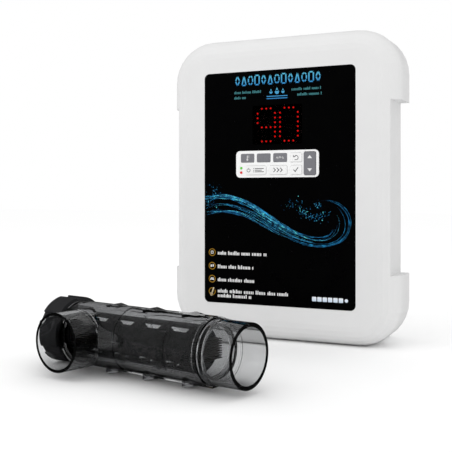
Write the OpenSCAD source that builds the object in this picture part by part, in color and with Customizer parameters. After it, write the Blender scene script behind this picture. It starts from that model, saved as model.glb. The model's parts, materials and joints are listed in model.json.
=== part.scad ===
// Salt chlorine generator: a wall control box and its in-line electrolysis cell.
// Millimetres, +Z up. The box faces -Y and the origin lies on the box's flat bottom.
// The cell lies on the same level in front of the box, turned about Z.

/* [Control box] */
// Width of the box over its side lobes
box_w = 284; // [240:1:360]
// Height of the box
box_h = 360; // [320:1:460]
// Depth of the front cover
cover_d = 56; // [48:1:76]
// Depth of the rear base behind the cover
base_d = 44; // [38:1:70]
// Distance of the cover's rear edge behind the origin
seam_y = 16; // [8:1:20]
// Radius of the box's corners seen from the front
corner_r = 50; // [40:1:60]
// Radius of the cover's rounded front edge
edge_r = 24; // [14:1:28]
// Wall of the cover and of the base
wall = 3; // [2:0.5:4]
// Depth of the recess along each side
side_step = 10; // [4:1:12]
// Height of each lobe above and below the side recess
lobe_h = 82; // [70:1:95]
// How far the rear base is set in from the cover's sides
base_inset = 30; // [24:1:40]
// How far the top of the rear base is below the top of the cover
base_top_gap = 18; // [8:1:40]

/* [Wall fixing] */
// Distance between the fixing holes across the base
fix_w = 190; // [150:1:200]
// Distance between the fixing holes up the base
fix_h = 250; // [200:1:260]
// Radius of a fixing hole
fix_r = 3; // [2:0.25:4]

/* [Front panel] */
// Width of the front overlay
panel_w = 188; // [160:1:190]
// Height of the front overlay
panel_h = 276; // [240:1:280]
// Thickness of the front overlay
panel_t = 0.8; // [0.5:0.1:1.2]
// Corner radius of the front overlay
panel_r = 6; // [2:0.5:12]
// Height of the display's centre above the overlay's centre
display_up = 74; // [66:1:84]
// Width of the display window
window_w = 62; // [60:1:80]
// Height of the display window
window_h = 46; // [46:1:54]
// Pitch of the dots in the display
dot_pitch = 5.5; // [4:0.1:5.5]
// Radius of a display dot
dot_r = 1.05; // [0.7:0.05:1.4]

/* [Keypad] */
// Height of the keypad's centre above the overlay's centre
keypad_up = 28; // [20:1:32]
// Width of the keypad frame
keypad_w = 103; // [100:1:124]
// Height of the keypad frame
keypad_h = 31.5; // [29:0.5:38]
// Thickness of the keypad frame
keypad_t = 1.4; // [1:0.1:2]
// How far a key stands proud of the frame
key_proud = 0.8; // [0.4:0.1:1.2]
// Travel of a key
key_travel = 0.8; // [0.4:0.1:1]
// Width of the legend lenses
lens_w = 17.2; // [12:0.1:18]
// Width of the menu key
menu_w = 26; // [20:0.5:27]
// Width of the boost key
boost_w = 22; // [16:0.5:24]
// Width of the back key and of the confirm key
small_key_w = 14; // [10:0.5:15]
// Width of the level rocker
rocker_w = 14; // [10:0.5:15]

/* [Cable entries] */
// Height of the pocket that hides the cable glands
pocket_h = 34; // [32:1:44]
// Thread radius of a cable gland
gland_r = 10; // [8:0.5:12]
// Radius of the cable hole in a gland
cable_r = 5; // [3:0.25:6]
// Distance between neighbouring entries
entry_pitch = 44; // [38:1:50]

/* [Cell] */
// Angle the cell is turned by about Z
cell_turn = 12; // [0:1:30]
// Place of the cell's branch axis across the box
cell_x = -106; // [-160:1:-60]
// Place of the cell's branch axis in front of the box
cell_y = -246; // [-340:1:-200]
// Inner radius of the pipe sockets
socket_r = 25.1; // [22:0.05:27]
// Depth of the pipe sockets
socket_depth = 31; // [24:1:36]
// Wall of the outlet socket
socket_wall = 3.9; // [2.5:0.1:5]
// Wall of the branch socket
branch_wall = 2.9; // [2:0.1:4]
// Wall of the main tube
tube_wall = 4.5; // [3:0.1:5]
// Distance from the branch axis to the outlet's rim
outlet_x = 180; // [160:1:230]
// Distance from the main axis to the branch's rim
branch_y = 58; // [54:1:80]
// Pitch of the flow barbs along the tube
barb_pitch = 47.5; // [40:0.5:60]
// Height of a flow barb over the tube's top
barb_top_h = 1.4; // [1.2:0.1:4.4]
// Height of a flow barb under the tube
barb_h = 4.2; // [2:0.1:4.4]
// Height of the union nut's lugs over the tube
lug_h = 4.5; // [4:0.1:8]

/* [Electrodes] */
// Pitch of the electrode plates
plate_pitch = 2.2; // [1.8:0.05:2.4]
// Thickness of an electrode plate
plate_t = 0.8; // [0.5:0.05:1.2]
// Length of one bay of the electrode cage
bay_l = 33; // [28:0.5:38]
// Gap between the electrode cage and the tube around it
cage_gap = 3.7; // [3.4:0.1:5]
// Wall of the electrode cage
cage_wall = 2; // [1.5:0.1:2.5]

/* [Hidden] */
PLATES = 9;
$fn = 96;
HULL_FN = 32;
EPS = 0.01;

// Clearances
slip = 0.3;      // between a loose piece and its seat
run = 0.05;      // radial clearance of a turning pin
contact = 0.1;   // between a key's flange and the frame

// Box planes
front_y = seam_y - cover_d;
back_y = seam_y + base_d;
mid_z = box_h / 2;
base_w = box_w - 2 * base_inset;
base_h = box_h - base_top_gap;
base_r = 8;
pocket_w = base_w - 2 * (wall + base_r);
lip_t = 3;
lip_w = 5;
gasket_t = 1.5;
flange_t = 3;
flange_y = seam_y - flange_t;
lip_y = flange_y - gasket_t;
boss_x = box_w / 2 - 16;
boss_z = lobe_h - 14;
boss_r = 5;
boss_l = 26;
rib_w = box_w / 2 - wall + 0.5 - boss_x;
rib_t = 3;
screw_r = 2;

// Front panel planes
panel_y = front_y + 0.2;
panel_back = panel_y + panel_t;
window_lip = 2;
window_t = 0.8;
digit_gap = 0.3;
digit_d = 7;
digit_front = panel_back + window_t + digit_gap;
board_y = digit_front + digit_d;
board_t = 1.6;
board_w = 136;
board_margin = 6;
dot_t = 0.2;
COLS = 5;
ROWS = 8;
digit_edge = 0.4;  // what a digit block adds to its rows and columns, and the space between blocks
digit_w = COLS * dot_pitch + digit_edge;
digit_h = ROWS * dot_pitch + digit_edge;
display_z = mid_z + display_up;
digit_pitch = digit_w + digit_edge;

// Keypad grid
keypad_z = mid_z + keypad_up;
keypad_edge = 3.6;
row_gap = 4;
key_gap = 4;
row_h = (keypad_h - 2 * 3.4 - row_gap) / 2;
upper_z = keypad_z + (row_gap + row_h) / 2;
lower_z = keypad_z - (row_gap + row_h) / 2;
rocker_h = keypad_h - 5;
rocker_x = keypad_w / 2 - keypad_edge - rocker_w / 2;
small_x = rocker_x - rocker_w / 2 - 2.8 - small_key_w / 2;
boost_x = small_x - small_key_w / 2 - key_gap - boost_w / 2;
menu_x = boost_x - boost_w / 2 - key_gap - menu_w / 2;
salt_x = boost_x + boost_w / 2 - lens_w / 2;
lens_pitch = lens_w + 3.4;
led_x = -keypad_w / 2 + 6.6;
led_r = 1.5;
led_z = [lower_z + 2.6, lower_z - 2.6];
keypad_open_w = keypad_w - 2.6;
keypad_open_h = keypad_h - 3;
key_flange = 1;
switch_d = 3.5;
stem_r = 2;
pivot_r = 0.95;
pivot_y = panel_y + 2;
lug_t = 1.2;
rocker_slip = 0.45;

// Parts in the base
board2_w = 170;
board2_h = 120;
standoff = 7;
board2_y = back_y - wall - standoff - board_t;
board2_z = pocket_h + wall + 14 + board2_h / 2;
upper_bay_z = (board2_z + board2_h / 2 + base_h - wall) / 2;
toroid_r = 48;
toroid_h = 36;
entry_y = seam_y + base_d / 2;
entry_x = [for (i = [-1.5:1:1.5]) i * entry_pitch];
hex_r = gland_r + 3.2;
hex_h = 4;
neck_r = gland_r - 1;
nut_r = gland_r + 2.4;
nut_l = 19;
nose_t = 4;
neck_gap = 1;
neck_l = nut_l + 0.5 - nose_t - neck_gap;
fuse_r = 2.6;
fuse_l = 20;
holder_r = 7;

// Cell, in its own frame: X along the main axis, -Y along the branch
tube_in = socket_r + 0.4;
tube_r = tube_in + tube_wall;
outlet_r = socket_r + socket_wall;
branch_r = socket_r + branch_wall;
nut_gap = 1;     // between the union nut and the branch
stop_r = socket_r - 3;
stop_t = 6;
tube_end = outlet_x - socket_depth - stop_t;
lug_r = tube_r + lug_h;
axis_z = lug_r;
collar_x = -46;
collar_l = -collar_x - branch_r - nut_gap;
collar_r = tube_r - 0.6;
nut_in = collar_r + slip + 0.1;
head_t = 4;
plug_l = 12;
head_r = collar_r - 0.3;
step_r = tube_in - 0.5;
step_l = 4;
neck2_r = 15;
neck2_l = 5;
lip2_t = 3;
head_back = collar_x - head_t - step_l - neck2_l;
stud_nut_l = 3;
stud_tail = 5;
cover_l = 12;
cover_wall = 1.5;
barb_x = 18;
barb_l = 26;
barb_w = 20;
rail_w = 7;
rail_h = 2.2;
rail_top_h = 0.8;
side_rib_l = 38;
sleeve_t = 1;    // tee body's step over the tube
sleeve_l = branch_r - collar_x - collar_l + 17;
cage_r = tube_in - cage_gap;
cage_in = cage_r - cage_wall;
cage_x = collar_x + plug_l;
cage_end = tube_end - 13;
web = 8;
window_shift = 10.4;
plate_x = cage_x + 11;
plate_end = tube_end - 4;
tab_l = 4;
tab_w = 10;
stud_y = 9;
stud_r = 3;
stack_h = (PLATES - 1) * plate_pitch + plate_t;
stack_room = stack_h / 2 + 0.25;
plate_gap = 1;   // between a plate's edge and the cage
plate_w = 2 * (sqrt(pow(cage_in, 2) - pow(stack_h / 2, 2)) - plate_gap / 2);
rod_z = stack_h / 2 + 2.3;
rod_r = 1.5;

// Places children on the cell's axes
module at_cell() {
    translate([cell_x, cell_y, axis_z]) rotate([0, 0, -cell_turn]) children();
}

// Turns a shape drawn in XY and raised along Z so that it faces -Y from the plane y
module facing(y, x = 0, z = 0) {
    translate([x, y, z]) rotate([90, 0, 0]) children();
}

// Turns a shape made along Z so that it runs along +X from x
module along_x(x = 0, y = 0, z = 0) {
    translate([x, y, z]) rotate([0, 90, 0]) children();
}

module round_rect(w, h, r) {
    square([w - 2 * r, h], center = true);
    square([w, h - 2 * r], center = true);
    for (sx = [-1, 1], sy = [-1, 1])
        translate([sx * (w / 2 - r), sy * (h / 2 - r)]) circle(r);
}

module plate(w, h, t, r) {
    linear_extrude(t) round_rect(w, h, r);
}

// Tube between two stations of an axis
module ring(r_out, r_in, l) {
    difference() {
        cylinder(r = r_out, h = l);
        translate([0, 0, -1]) cylinder(r = r_in, h = l + 2);
    }
}

// ---- Control box -------------------------------------------------------

// Space taken from each side by the recess, grown by a wall
module side_cuts(grow) {
    for (s = [-1, 1])
        translate([s * (box_w / 2 - side_step - grow + 50), 0, mid_z])
            cube([100, 400, box_h - 2 * lobe_h + 2 * grow], center = true);
}

// Cushion shape of the cover, set in by a wall, from the seam to the front
module cushion(inset) {
    r = corner_r - inset;
    e = edge_r - inset;
    d = cover_d - inset;
    hull()
        for (sx = [-1, 1], sz = [-1, 1])
            facing(seam_y, sx * (box_w / 2 - corner_r), mid_z + sz * (box_h / 2 - corner_r))
                rotate_extrude($fn = HULL_FN)
                    polygon(concat(
                        [[0, 0], [r, 0]],
                        [for (a = [0:15:90]) [r - e + e * cos(a), d - e + e * sin(a)]],
                        [[0, d]]));
}

// Outline of the box set in by a wall, as a slab from y0 to y1
module outline_slab(inset, y0, y1) {
    difference() {
        facing(y1, 0, mid_z)
            plate(box_w - 2 * inset, box_h - 2 * inset, y1 - y0, corner_r - inset);
        side_cuts(inset);
    }
}

module board_post_places() {
    for (sx = [-1, 1], z = [board_z(0), board_z(1)])
        translate([sx * (board_w / 2 - board_margin), 0, z]) children();
}

function board_z(top) = top == 1
    ? display_z + digit_h / 2 + 2
    : keypad_z - keypad_h / 2 - 4;

module front_cover() {
    color("whitesmoke")
    difference() {
        union() {
            difference() {
                difference() {
                    cushion(0);
                    side_cuts(0);
                }
                intersection() {
                    difference() {
                        cushion(wall);
                        side_cuts(wall);
                    }
                    translate([0, lip_y - lip_t - 500, mid_z]) cube(1000, center = true);
                }
                outline_slab(wall + lip_w, lip_y - lip_t - EPS, lip_y + EPS);
                outline_slab(wall, lip_y, seam_y + 1);
            }
            for (s = [-1, 1], z = [boss_z, box_h - boss_z]) {
                facing(flange_y, s * boss_x, z) cylinder(r = boss_r, h = boss_l);
                facing(lip_y, s * (boss_x + rib_w / 2), z)
                    translate([-rib_w / 2, -rib_t / 2, 0]) cube([rib_w, rib_t, boss_l - 8]);
            }
            board_post_places()
                facing(board_y) cylinder(r = 4, h = board_y - front_y - wall + 0.5);
        }
        facing(panel_back, 0, mid_z)
            plate(panel_w + 0.4, panel_h + 0.4, 5, panel_r + 0.2);
        facing(front_y + wall + 2, 0, display_z)
            plate(window_w + 2 * window_lip + 1, window_h + 2 * window_lip + 1, 9, 3);
        facing(front_y + wall + 2, 0, keypad_z)
            plate(keypad_open_w, keypad_open_h, 9, 3);
        for (s = [-1, 1], z = [boss_z, box_h - boss_z])
            facing(flange_y + EPS, s * boss_x, z) cylinder(r = screw_r - 0.2, h = 16);
        board_post_places() facing(board_y + EPS) cylinder(r = 1.2, h = 5);
    }
}

// Space inside the tub, open to the cover
module tub_space() {
    inner_h = base_h - pocket_h - 2 * wall;
    facing(back_y - wall, 0, pocket_h + wall + inner_h / 2)
        plate(base_w - 2 * wall, inner_h, base_d + 20, base_r - wall);
}

// Back of the tub, with the wall fixing holes and the power board's standoffs
module base_back() {
    color("gainsboro") {
        difference() {
            facing(back_y, 0, base_h / 2) plate(base_w, base_h, wall, base_r);
            for (sx = [-1, 1], sz = [-1, 1])
                facing(back_y + 1, sx * fix_w / 2, mid_z + sz * fix_h / 2)
                    cylinder(r = fix_r, h = wall + 2);
        }
        board2_post_places()
            facing(back_y - wall + EPS) cylinder(r = 4, h = standoff + EPS);
    }
}

// Top and sides of the tub, down to the feet beside the gland pocket
module base_walls() {
    color("gainsboro")
    difference() {
        facing(back_y - wall, 0, base_h / 2) plate(base_w, base_h, base_d - wall, base_r);
        tub_space();
        translate([-pocket_w / 2, seam_y - 1, -1])
            cube([pocket_w, base_d, pocket_h + wall + 1 + EPS]);
    }
}

// Rim that the cover's screws and gasket press against
module base_rim() {
    color("gainsboro")
    difference() {
        outline_slab(wall + slip, flange_y, seam_y);
        tub_space();
        for (s = [-1, 1], z = [boss_z, box_h - boss_z])
            facing(seam_y + 1, s * boss_x, z) cylinder(r = screw_r + 0.2, h = flange_t + 2);
    }
}

// Ceiling of the gland pocket
module gland_shelf() {
    color("gainsboro")
    difference() {
        translate([-pocket_w / 2, seam_y, pocket_h]) cube([pocket_w, base_d - wall, wall]);
        for (i = [0:2])
            translate([entry_x[i], entry_y, pocket_h - 1])
                cylinder(r = gland_r + 0.1, h = wall + 2);
        translate([entry_x[3], entry_y, pocket_h - 1])
            cylinder(r = holder_r + 0.1, h = wall + 2);
    }
}

module board2_post_places() {
    for (sx = [-1, 1], sz = [-1, 1])
        translate([sx * (board2_w / 2 - 8), 0, board2_z + sz * (board2_h / 2 - 8)]) children();
}

module cover_gasket() {
    color("dimgray")
    difference() {
        outline_slab(wall + slip, lip_y, flange_y);
        outline_slab(wall + lip_w, lip_y - 1, flange_y + 1);
        for (s = [-1, 1], z = [boss_z, box_h - boss_z])
            facing(seam_y, s * boss_x, z) cylinder(r = boss_r + 1, h = 20);
    }
}

module cover_screws() {
    color("silver")
    for (s = [-1, 1], z = [boss_z, box_h - boss_z])
        facing(seam_y + 2.4, s * boss_x, z) {
            cylinder(r = 4, h = 2.4);
            cylinder(r = screw_r - 0.25, h = 16);
        }
}

// ---- Front panel -------------------------------------------------------

module front_overlay() {
    color("black")
    difference() {
        facing(panel_back, 0, mid_z) plate(panel_w, panel_h, panel_t, panel_r);
        facing(panel_back + 1, 0, display_z) plate(window_w, window_h, 3, 2);
        facing(panel_back + 1, 0, keypad_z) plate(keypad_open_w, keypad_open_h, 3, 3);
    }
}

module display_window() {
    color("black") {
        facing(panel_back + EPS, 0, display_z)
            plate(window_w - 0.2, window_h - 0.2, panel_t + EPS, 1.9);
        facing(panel_back + window_t, 0, display_z)
            plate(window_w + 2 * window_lip, window_h + 2 * window_lip, window_t, 2);
    }
}

// Hole or body of one keypad place
module keypad_place(x, z, w, h, r, y, t, grow = 0) {
    facing(y, x, z) plate(w + 2 * grow, h + 2 * grow, t, r + grow);
}

module keypad_frame() {
    color("white")
    difference() {
        union() {
            keypad_place(0, keypad_z, keypad_w, keypad_h, 5, panel_y, keypad_t);
            for (s = [-1, 1])
                translate([rocker_x + s * (rocker_w / 2 + rocker_slip + lug_t / 2),
                           panel_y + 1.9, keypad_z])
                    cube([lug_t, 4, 5], center = true);
        }
        for (i = [0:2])
            keypad_place(salt_x - i * lens_pitch, upper_z, lens_w, row_h, 1.5, panel_y + 1, 4, 0.1);
        keypad_place(menu_x, lower_z, menu_w, row_h, 2.4, panel_y + 1, 4, slip);
        keypad_place(boost_x, lower_z, boost_w, row_h, 1.5, panel_y + 1, 4, slip);
        for (z = [upper_z, lower_z])
            keypad_place(small_x, z, small_key_w, row_h, 1.5, panel_y + 1, 4, slip);
        keypad_place(rocker_x, keypad_z, rocker_w, rocker_h, 1.5, panel_y + 4, 8, rocker_slip);
        for (z = led_z) facing(panel_y + 1, led_x, z) cylinder(r = led_r + 0.1, h = 4);
        translate([rocker_x - rocker_w, pivot_y, keypad_z]) rotate([0, 90, 0])
            cylinder(r = pivot_r + run, h = 2 * rocker_w);
    }
}

module lens(x) {
    keypad_place(x, upper_z, lens_w, row_h, 1.5, panel_y + EPS, keypad_t + 0.2);
    keypad_place(x, upper_z, lens_w, row_h, 1.5, panel_y + 0.6, 0.6, 0.8);
}

module temp_lens() { color("gray") lens(salt_x - 2 * lens_pitch); }
module spare_lens() { color("gray") lens(salt_x - lens_pitch); }
module salt_lens() { color("gray") lens(salt_x); }

module led(z) {
    facing(board_y, led_x, z) cylinder(r = led_r, h = board_y - panel_y + keypad_t);
    translate([led_x, panel_y - keypad_t, z]) sphere(r = led_r);
}

module green_led() { color("limegreen") led(led_z[0]); }
module red_led() { color("red") led(led_z[1]); }

// Key with its cap, the flange that keeps it in, and the stem over its switch
module key(x, z, w, r) {
    keypad_place(x, z, w, row_h, r, panel_y + contact + EPS, keypad_t + key_proud + contact);
    keypad_place(x, z, w, row_h, r, panel_y + contact + 1, 1, key_flange);
    facing(board_y - switch_d - key_travel - 0.3, x, z)
        cylinder(r = stem_r, h = board_y - switch_d - key_travel - 0.3 - panel_y - contact - 0.5);
}

module menu_key() { color("whitesmoke") key(menu_x, lower_z, menu_w, 2.4); }
module boost_key() { color("whitesmoke") key(boost_x, lower_z, boost_w, 1.5); }
module back_key() { color("whitesmoke") key(small_x, upper_z, small_key_w, 1.5); }
module confirm_key() { color("whitesmoke") key(small_x, lower_z, small_key_w, 1.5); }

module level_rocker() {
    color("gray") {
        keypad_place(rocker_x, keypad_z, rocker_w, rocker_h, 1.5, pivot_y + 1.4,
                     pivot_y + 1.4 - panel_y + keypad_t + key_proud);
        along_x(rocker_x - rocker_w / 2 - rocker_slip - lug_t, pivot_y, keypad_z)
            cylinder(r = pivot_r, h = rocker_w + 2 * rocker_slip + 2 * lug_t);
    }
}

// ---- Display electronics -----------------------------------------------

module digit_block(s) {
    facing(board_y, s * digit_pitch / 2, display_z)
        translate([-digit_w / 2, -digit_h / 2, 0]) cube([digit_w, digit_h, digit_d]);
}

module tens_display() { color("black") digit_block(-1); }
module units_display() { color("black") digit_block(1); }

// Dots that a nine and a nought light up: [column, row], row 0 at the top
function lit_nine() = concat(
    [for (c = [1:3]) [c, 0]], [for (r = [1:3]) [0, r]], [for (r = [1:6]) [4, r]],
    [for (c = [1:3]) [c, 4]], [for (c = [1:3]) [c, 7]]);
function lit_nought() = concat(
    [for (c = [1:3]) [c, 0]], [for (c = [1:3]) [c, 7]],
    [for (r = [1:6]) [0, r]], [for (r = [1:6]) [4, r]]);

module dots(s, lit) {
    for (d = lit)
        facing(digit_front, s * digit_pitch / 2 + (d[0] - 2) * dot_pitch,
               display_z + (3.5 - d[1]) * dot_pitch)
            cylinder(r = dot_r, h = dot_t, $fn = 16);
}

module lit_dots() {
    color("red") {
        dots(-1, lit_nine());
        dots(1, lit_nought());
    }
}

module display_board() {
    z0 = board_z(0) - board_margin;
    z1 = board_z(1) + board_margin;
    color("darkgreen")
    difference() {
        union() {
            translate([-board_w / 2, board_y, z0]) cube([board_w, board_t, z1 - z0]);
            translate([-12, board_y + board_t - EPS, keypad_z - 4]) cube([24, 7, 8]);
        }
        board_post_places() facing(board_y + 5) cylinder(r = 1.6, h = 8);
    }
}

module key_switches() {
    spots = [[menu_x, lower_z], [boost_x, lower_z], [small_x, upper_z], [small_x, lower_z],
             [rocker_x, keypad_z + rocker_h / 3], [rocker_x, keypad_z - rocker_h / 3]];
    color("darkslategray")
    for (p = spots)
        translate([p[0] - 3, board_y - switch_d, p[1] - 3]) cube([6, switch_d, 6]);
}

module ribbon_cable() {
    y0 = board_y + board_t + 7;
    y1 = board2_y - 8;
    z0 = keypad_z;
    z1 = board2_z + board2_h / 4;
    n = 16;
    path = [for (i = [0:n]) let (t = i / n)
        [y0 + 3.5 + (y1 - y0 - 7) * t, z0 + (z1 - z0) * (1 - cos(180 * t)) / 2]];
    color("lightgray") {
        translate([-10, 0, 0]) rotate([90, 0, 90])
            linear_extrude(20)
                polygon(concat([for (p = path) p - [0, 0.6]],
                               [for (i = [n:-1:0]) path[i] + [0, 0.6]]));
        translate([-12, y0, z0 - 3.5]) cube([24, 4, 7]);
        translate([-12, y1 - 4, z1 - 3.5]) cube([24, 4, 7]);
    }
}

// ---- Parts in the base -------------------------------------------------

module power_board() {
    color("darkgreen")
    difference() {
        union() {
            facing(board2_y + board_t, 0, board2_z) plate(board2_w, board2_h, board_t, 3);
            facing(board2_y + EPS, 0, board2_z + board2_h / 4)
                translate([-12, -4, 0]) cube([24, 8, 8]);
        }
        board2_post_places() facing(board2_y + 5) cylinder(r = 1.6, h = 8);
    }
}

module transformer() {
    color("goldenrod")
    facing(back_y - wall, -base_w / 4, upper_bay_z)
        rotate_extrude()
            translate([(toroid_r + 16) / 2, toroid_h / 2])
                round_rect(toroid_r - 16, toroid_h, 8);
    color("silver")
    facing(back_y - wall, -base_w / 4, upper_bay_z) {
        cylinder(r = 4, h = toroid_h + 2);
        translate([0, 0, toroid_h]) cylinder(r = 20, h = 2);
    }
}

module heat_sink() {
    w = 72;
    h = 84;
    fins = 9;
    fin_t = 2;
    color("silver")
    translate([base_w / 4 - w / 2, 0, upper_bay_z - h / 2]) {
        translate([0, back_y - wall - 6, 0]) cube([w, 6, h]);
        for (i = [0:fins - 1])
            translate([i * (w - fin_t) / (fins - 1), back_y - wall - 26, 0])
                cube([fin_t, 21, h]);
    }
}

module terminal_block() {
    ways = 8;
    pitch = 10;
    color("seagreen")
    difference() {
        translate([-ways * pitch / 2, board2_y - 16, board2_z - board2_h / 2 + 12])
            cube([ways * pitch, 16, 18]);
        for (i = [0:ways - 1]) {
            x = (i - (ways - 1) / 2) * pitch;
            facing(board2_y - 8, x, board2_z - board2_h / 2 + 24) cylinder(r = 3, h = 12);
            translate([x, board2_y - 6, board2_z - board2_h / 2 + 11])
                cylinder(r = 2.4, h = 8);
        }
    }
}

module capacitors() {
    color("midnightblue")
    for (x = [-52, -24, 36, 62])
        facing(board2_y, x, board2_z + (x < 0 ? 8 : 16))
            cylinder(r = x < 0 ? 12 : 8, h = x < 0 ? 30 : 20);
}

// Gland body with its thread through the pocket's ceiling, and the locknut above
module gland(x, cable) {
    translate([x, entry_y, 0])
    difference() {
        union() {
            translate([0, 0, pocket_h - hex_h - neck_l]) cylinder(r = neck_r, h = neck_l + 1);
            translate([0, 0, pocket_h - hex_h]) cylinder(r = hex_r, h = hex_h, $fn = 6);
            translate([0, 0, pocket_h - 1]) cylinder(r = gland_r, h = wall + 9);
            translate([0, 0, pocket_h + wall]) cylinder(r = hex_r, h = 4, $fn = 6);
        }
        translate([0, 0, -1]) cylinder(r = cable, h = pocket_h + 30);
    }
}

module gland_nut(x, cable) {
    top = pocket_h - hex_h - 0.5;
    translate([x, entry_y, top - nut_l])
    difference() {
        union() {
            translate([0, 0, 5]) cylinder(r = nut_r, h = nut_l - 5);
            cylinder(r1 = nut_r - 4, r2 = nut_r, h = 5 + EPS);
            for (a = [0:30:330]) rotate([0, 0, a])
                translate([nut_r - 0.4, -0.8, nut_l - 9]) cube([1, 1.6, 9]);
        }
        translate([0, 0, nose_t]) cylinder(r = neck_r + run + 0.03, h = nut_l);
        translate([0, 0, -1]) cylinder(r = cable, h = nut_l);
    }
}

module mains_gland() { color("dimgray") gland(entry_x[0], cable_r); }
module cell_gland() { color("dimgray") gland(entry_x[1], cable_r); }
module sensor_gland() { color("dimgray") gland(entry_x[2], cable_r - 1.5); }
module mains_gland_nut() { color("dimgray") gland_nut(entry_x[0], cable_r); }
module cell_gland_nut() { color("dimgray") gland_nut(entry_x[1], cable_r); }
module sensor_gland_nut() { color("dimgray") gland_nut(entry_x[2], cable_r - 1.5); }

module fuse_holder() {
    color("black")
    translate([entry_x[3], entry_y, 0])
    difference() {
        union() {
            translate([0, 0, pocket_h - 3]) cylinder(r = holder_r + 3, h = 3);
            translate([0, 0, pocket_h - 1]) cylinder(r = holder_r, h = fuse_l + 14);
            translate([0, 0, pocket_h + wall]) cylinder(r = holder_r + 3, h = 4, $fn = 6);
        }
        translate([0, 0, pocket_h - 4]) cylinder(r = holder_r - 2, h = fuse_l + 14);
    }
}

module fuse() {
    z0 = pocket_h + 4;
    color("silver")
    translate([entry_x[3], entry_y, z0]) {
        cylinder(r = fuse_r, h = 5);
        translate([0, 0, 4]) cylinder(r = fuse_r - 0.3, h = fuse_l - 8);
        translate([0, 0, fuse_l - 5]) cylinder(r = fuse_r, h = 5);
    }
}

module fuse_cap() {
    plug_r = holder_r - 2 - run;
    top = pocket_h - 3 - slip;
    color("black")
    translate([entry_x[3], entry_y, 0])
    difference() {
        union() {
            translate([0, 0, top - 9]) cylinder(r = holder_r + 1, h = 9);
            translate([0, 0, top - 1]) cylinder(r = plug_r, h = 10);
        }
        translate([0, 0, pocket_h + 2]) cylinder(r = fuse_r + 0.4, h = 20);
        translate([0, 0, top - 8.5]) cube([2, 12, 3], center = true);
    }
}

// ---- Electrolysis cell -------------------------------------------------

// Arrow-shaped barb on top of the tube, tallest at its square end
module barb(x, h) {
    intersection() {
        translate([0, 0, tube_r - 6]) linear_extrude(20)
            polygon([[x, -barb_w / 2], [x, barb_w / 2], [x + barb_l, 1.5], [x + barb_l, -1.5]]);
        translate([0, 30, 0]) rotate([90, 0, 0]) linear_extrude(60)
            polygon([[x - 1, tube_r - 5], [x - 1, tube_r + h],
                     [x + 3, tube_r + h], [x + barb_l + 1, tube_r - 0.4],
                     [x + barb_l + 1, tube_r - 5]]);
    }
}

module tube_side_details() {
    rail_l = tube_end - barb_x;
    for (s = [0, 1]) mirror([0, 0, s]) {
        for (i = [0:2]) barb(barb_x + i * barb_pitch, s == 0 ? barb_top_h : barb_h);
        translate([barb_x + rail_l / 2, 0, tube_r + (s == 0 ? rail_top_h : rail_h) - 3])
            cube([rail_l, rail_w, 6], center = true);
    }
    // short rib and arc band on each side of the tube
    for (s = [0, 1]) mirror([0, s, 0]) {
        translate([branch_r + side_rib_l / 2 - 6, -tube_r - 0.2, 3])
            cube([side_rib_l, 3, 1.6], center = true);
        intersection() {
            along_x(tube_end - 42) cylinder(r = tube_r + 0.8, h = 7);
            translate([tube_end - 50, -tube_r - 2, -17]) cube([30, 14, 34]);
        }
    }
}

module cell_housing() {
    color("dimgray")
    at_cell()
    difference() {
        union() {
            along_x(collar_x) cylinder(r = collar_r, h = 30);
            along_x(collar_x + collar_l + 1) cylinder(r = tube_r, h = tube_end - collar_x - collar_l - 1);
            along_x(collar_x + collar_l + 1) cylinder(r = tube_r + sleeve_t, h = sleeve_l);
            along_x(tube_end - 2) cylinder(r = outlet_r, h = outlet_x - tube_end + 2);
            along_x(tube_end - 2) cylinder(r = tube_r + 1, h = 4);
            along_x(tube_end + stop_t + 2) cylinder(r = outlet_r + 0.6, h = 2);
            rotate([90, 0, 0]) cylinder(r = branch_r, h = branch_y);
            translate([0, -branch_y + socket_depth - 1, 0]) rotate([90, 0, 0])
                cylinder(r = branch_r + 0.6, h = 2);
            tube_side_details();
        }
        along_x(collar_x - 1) cylinder(r = tube_in, h = tube_end - collar_x + 1);
        along_x(tube_end - 1) cylinder(r = stop_r, h = stop_t + 2);
        along_x(outlet_x - socket_depth) cylinder(r = socket_r, h = socket_depth + 1);
        rotate([90, 0, 0]) cylinder(r = stop_r, h = branch_y);
        translate([0, -branch_y + socket_depth, 0]) rotate([90, 0, 0])
            cylinder(r = socket_r, h = socket_depth + 1);
    }
}

module union_nut() {
    lugs = 6;
    nut_back = collar_x - head_t - slip - lip2_t;
    nut_len = collar_x + collar_l - nut_back;
    color("black")
    at_cell()
    difference() {
        along_x(nut_back) cylinder(r = lug_r, h = nut_len);
        along_x(nut_back + lip2_t) cylinder(r = nut_in, h = nut_len);
        along_x(nut_back - 1) cylinder(r = step_r + slip, h = nut_len);
        for (a = [0:lugs - 1]) rotate([a * 360 / lugs, 0, 0])
            translate([nut_back - 1, -4.5, lug_r - 2]) cube([nut_len + 2, 9, 10]);
    }
}

module cell_head() {
    seal_x = collar_x + 4;
    color("black")
    at_cell()
    difference() {
        union() {
            along_x(collar_x - EPS) cylinder(r = tube_in - slip, h = plug_l + EPS);
            along_x(collar_x - head_t) cylinder(r = head_r, h = head_t);
            along_x(collar_x - head_t - step_l) cylinder(r = step_r, h = step_l + EPS);
            along_x(head_back) cylinder(r = neck2_r, h = neck2_l + EPS);
        }
        along_x(seal_x) ring(tube_in + 1, tube_in - 2.8, 3.2);
        for (s = [-1, 1])
            along_x(-80, s * stud_y, 0) cylinder(r = stud_r + 0.05, h = 60);
        along_x(-80, 0, rod_z) cylinder(r = rod_r + 0.05, h = 60);
    }
}

module head_seal() {
    color("orangered")
    at_cell()
    along_x(collar_x + 5.6)
        rotate_extrude() translate([tube_in - 1.4, 0]) circle(1.3, $fn = 32);
}

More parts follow.
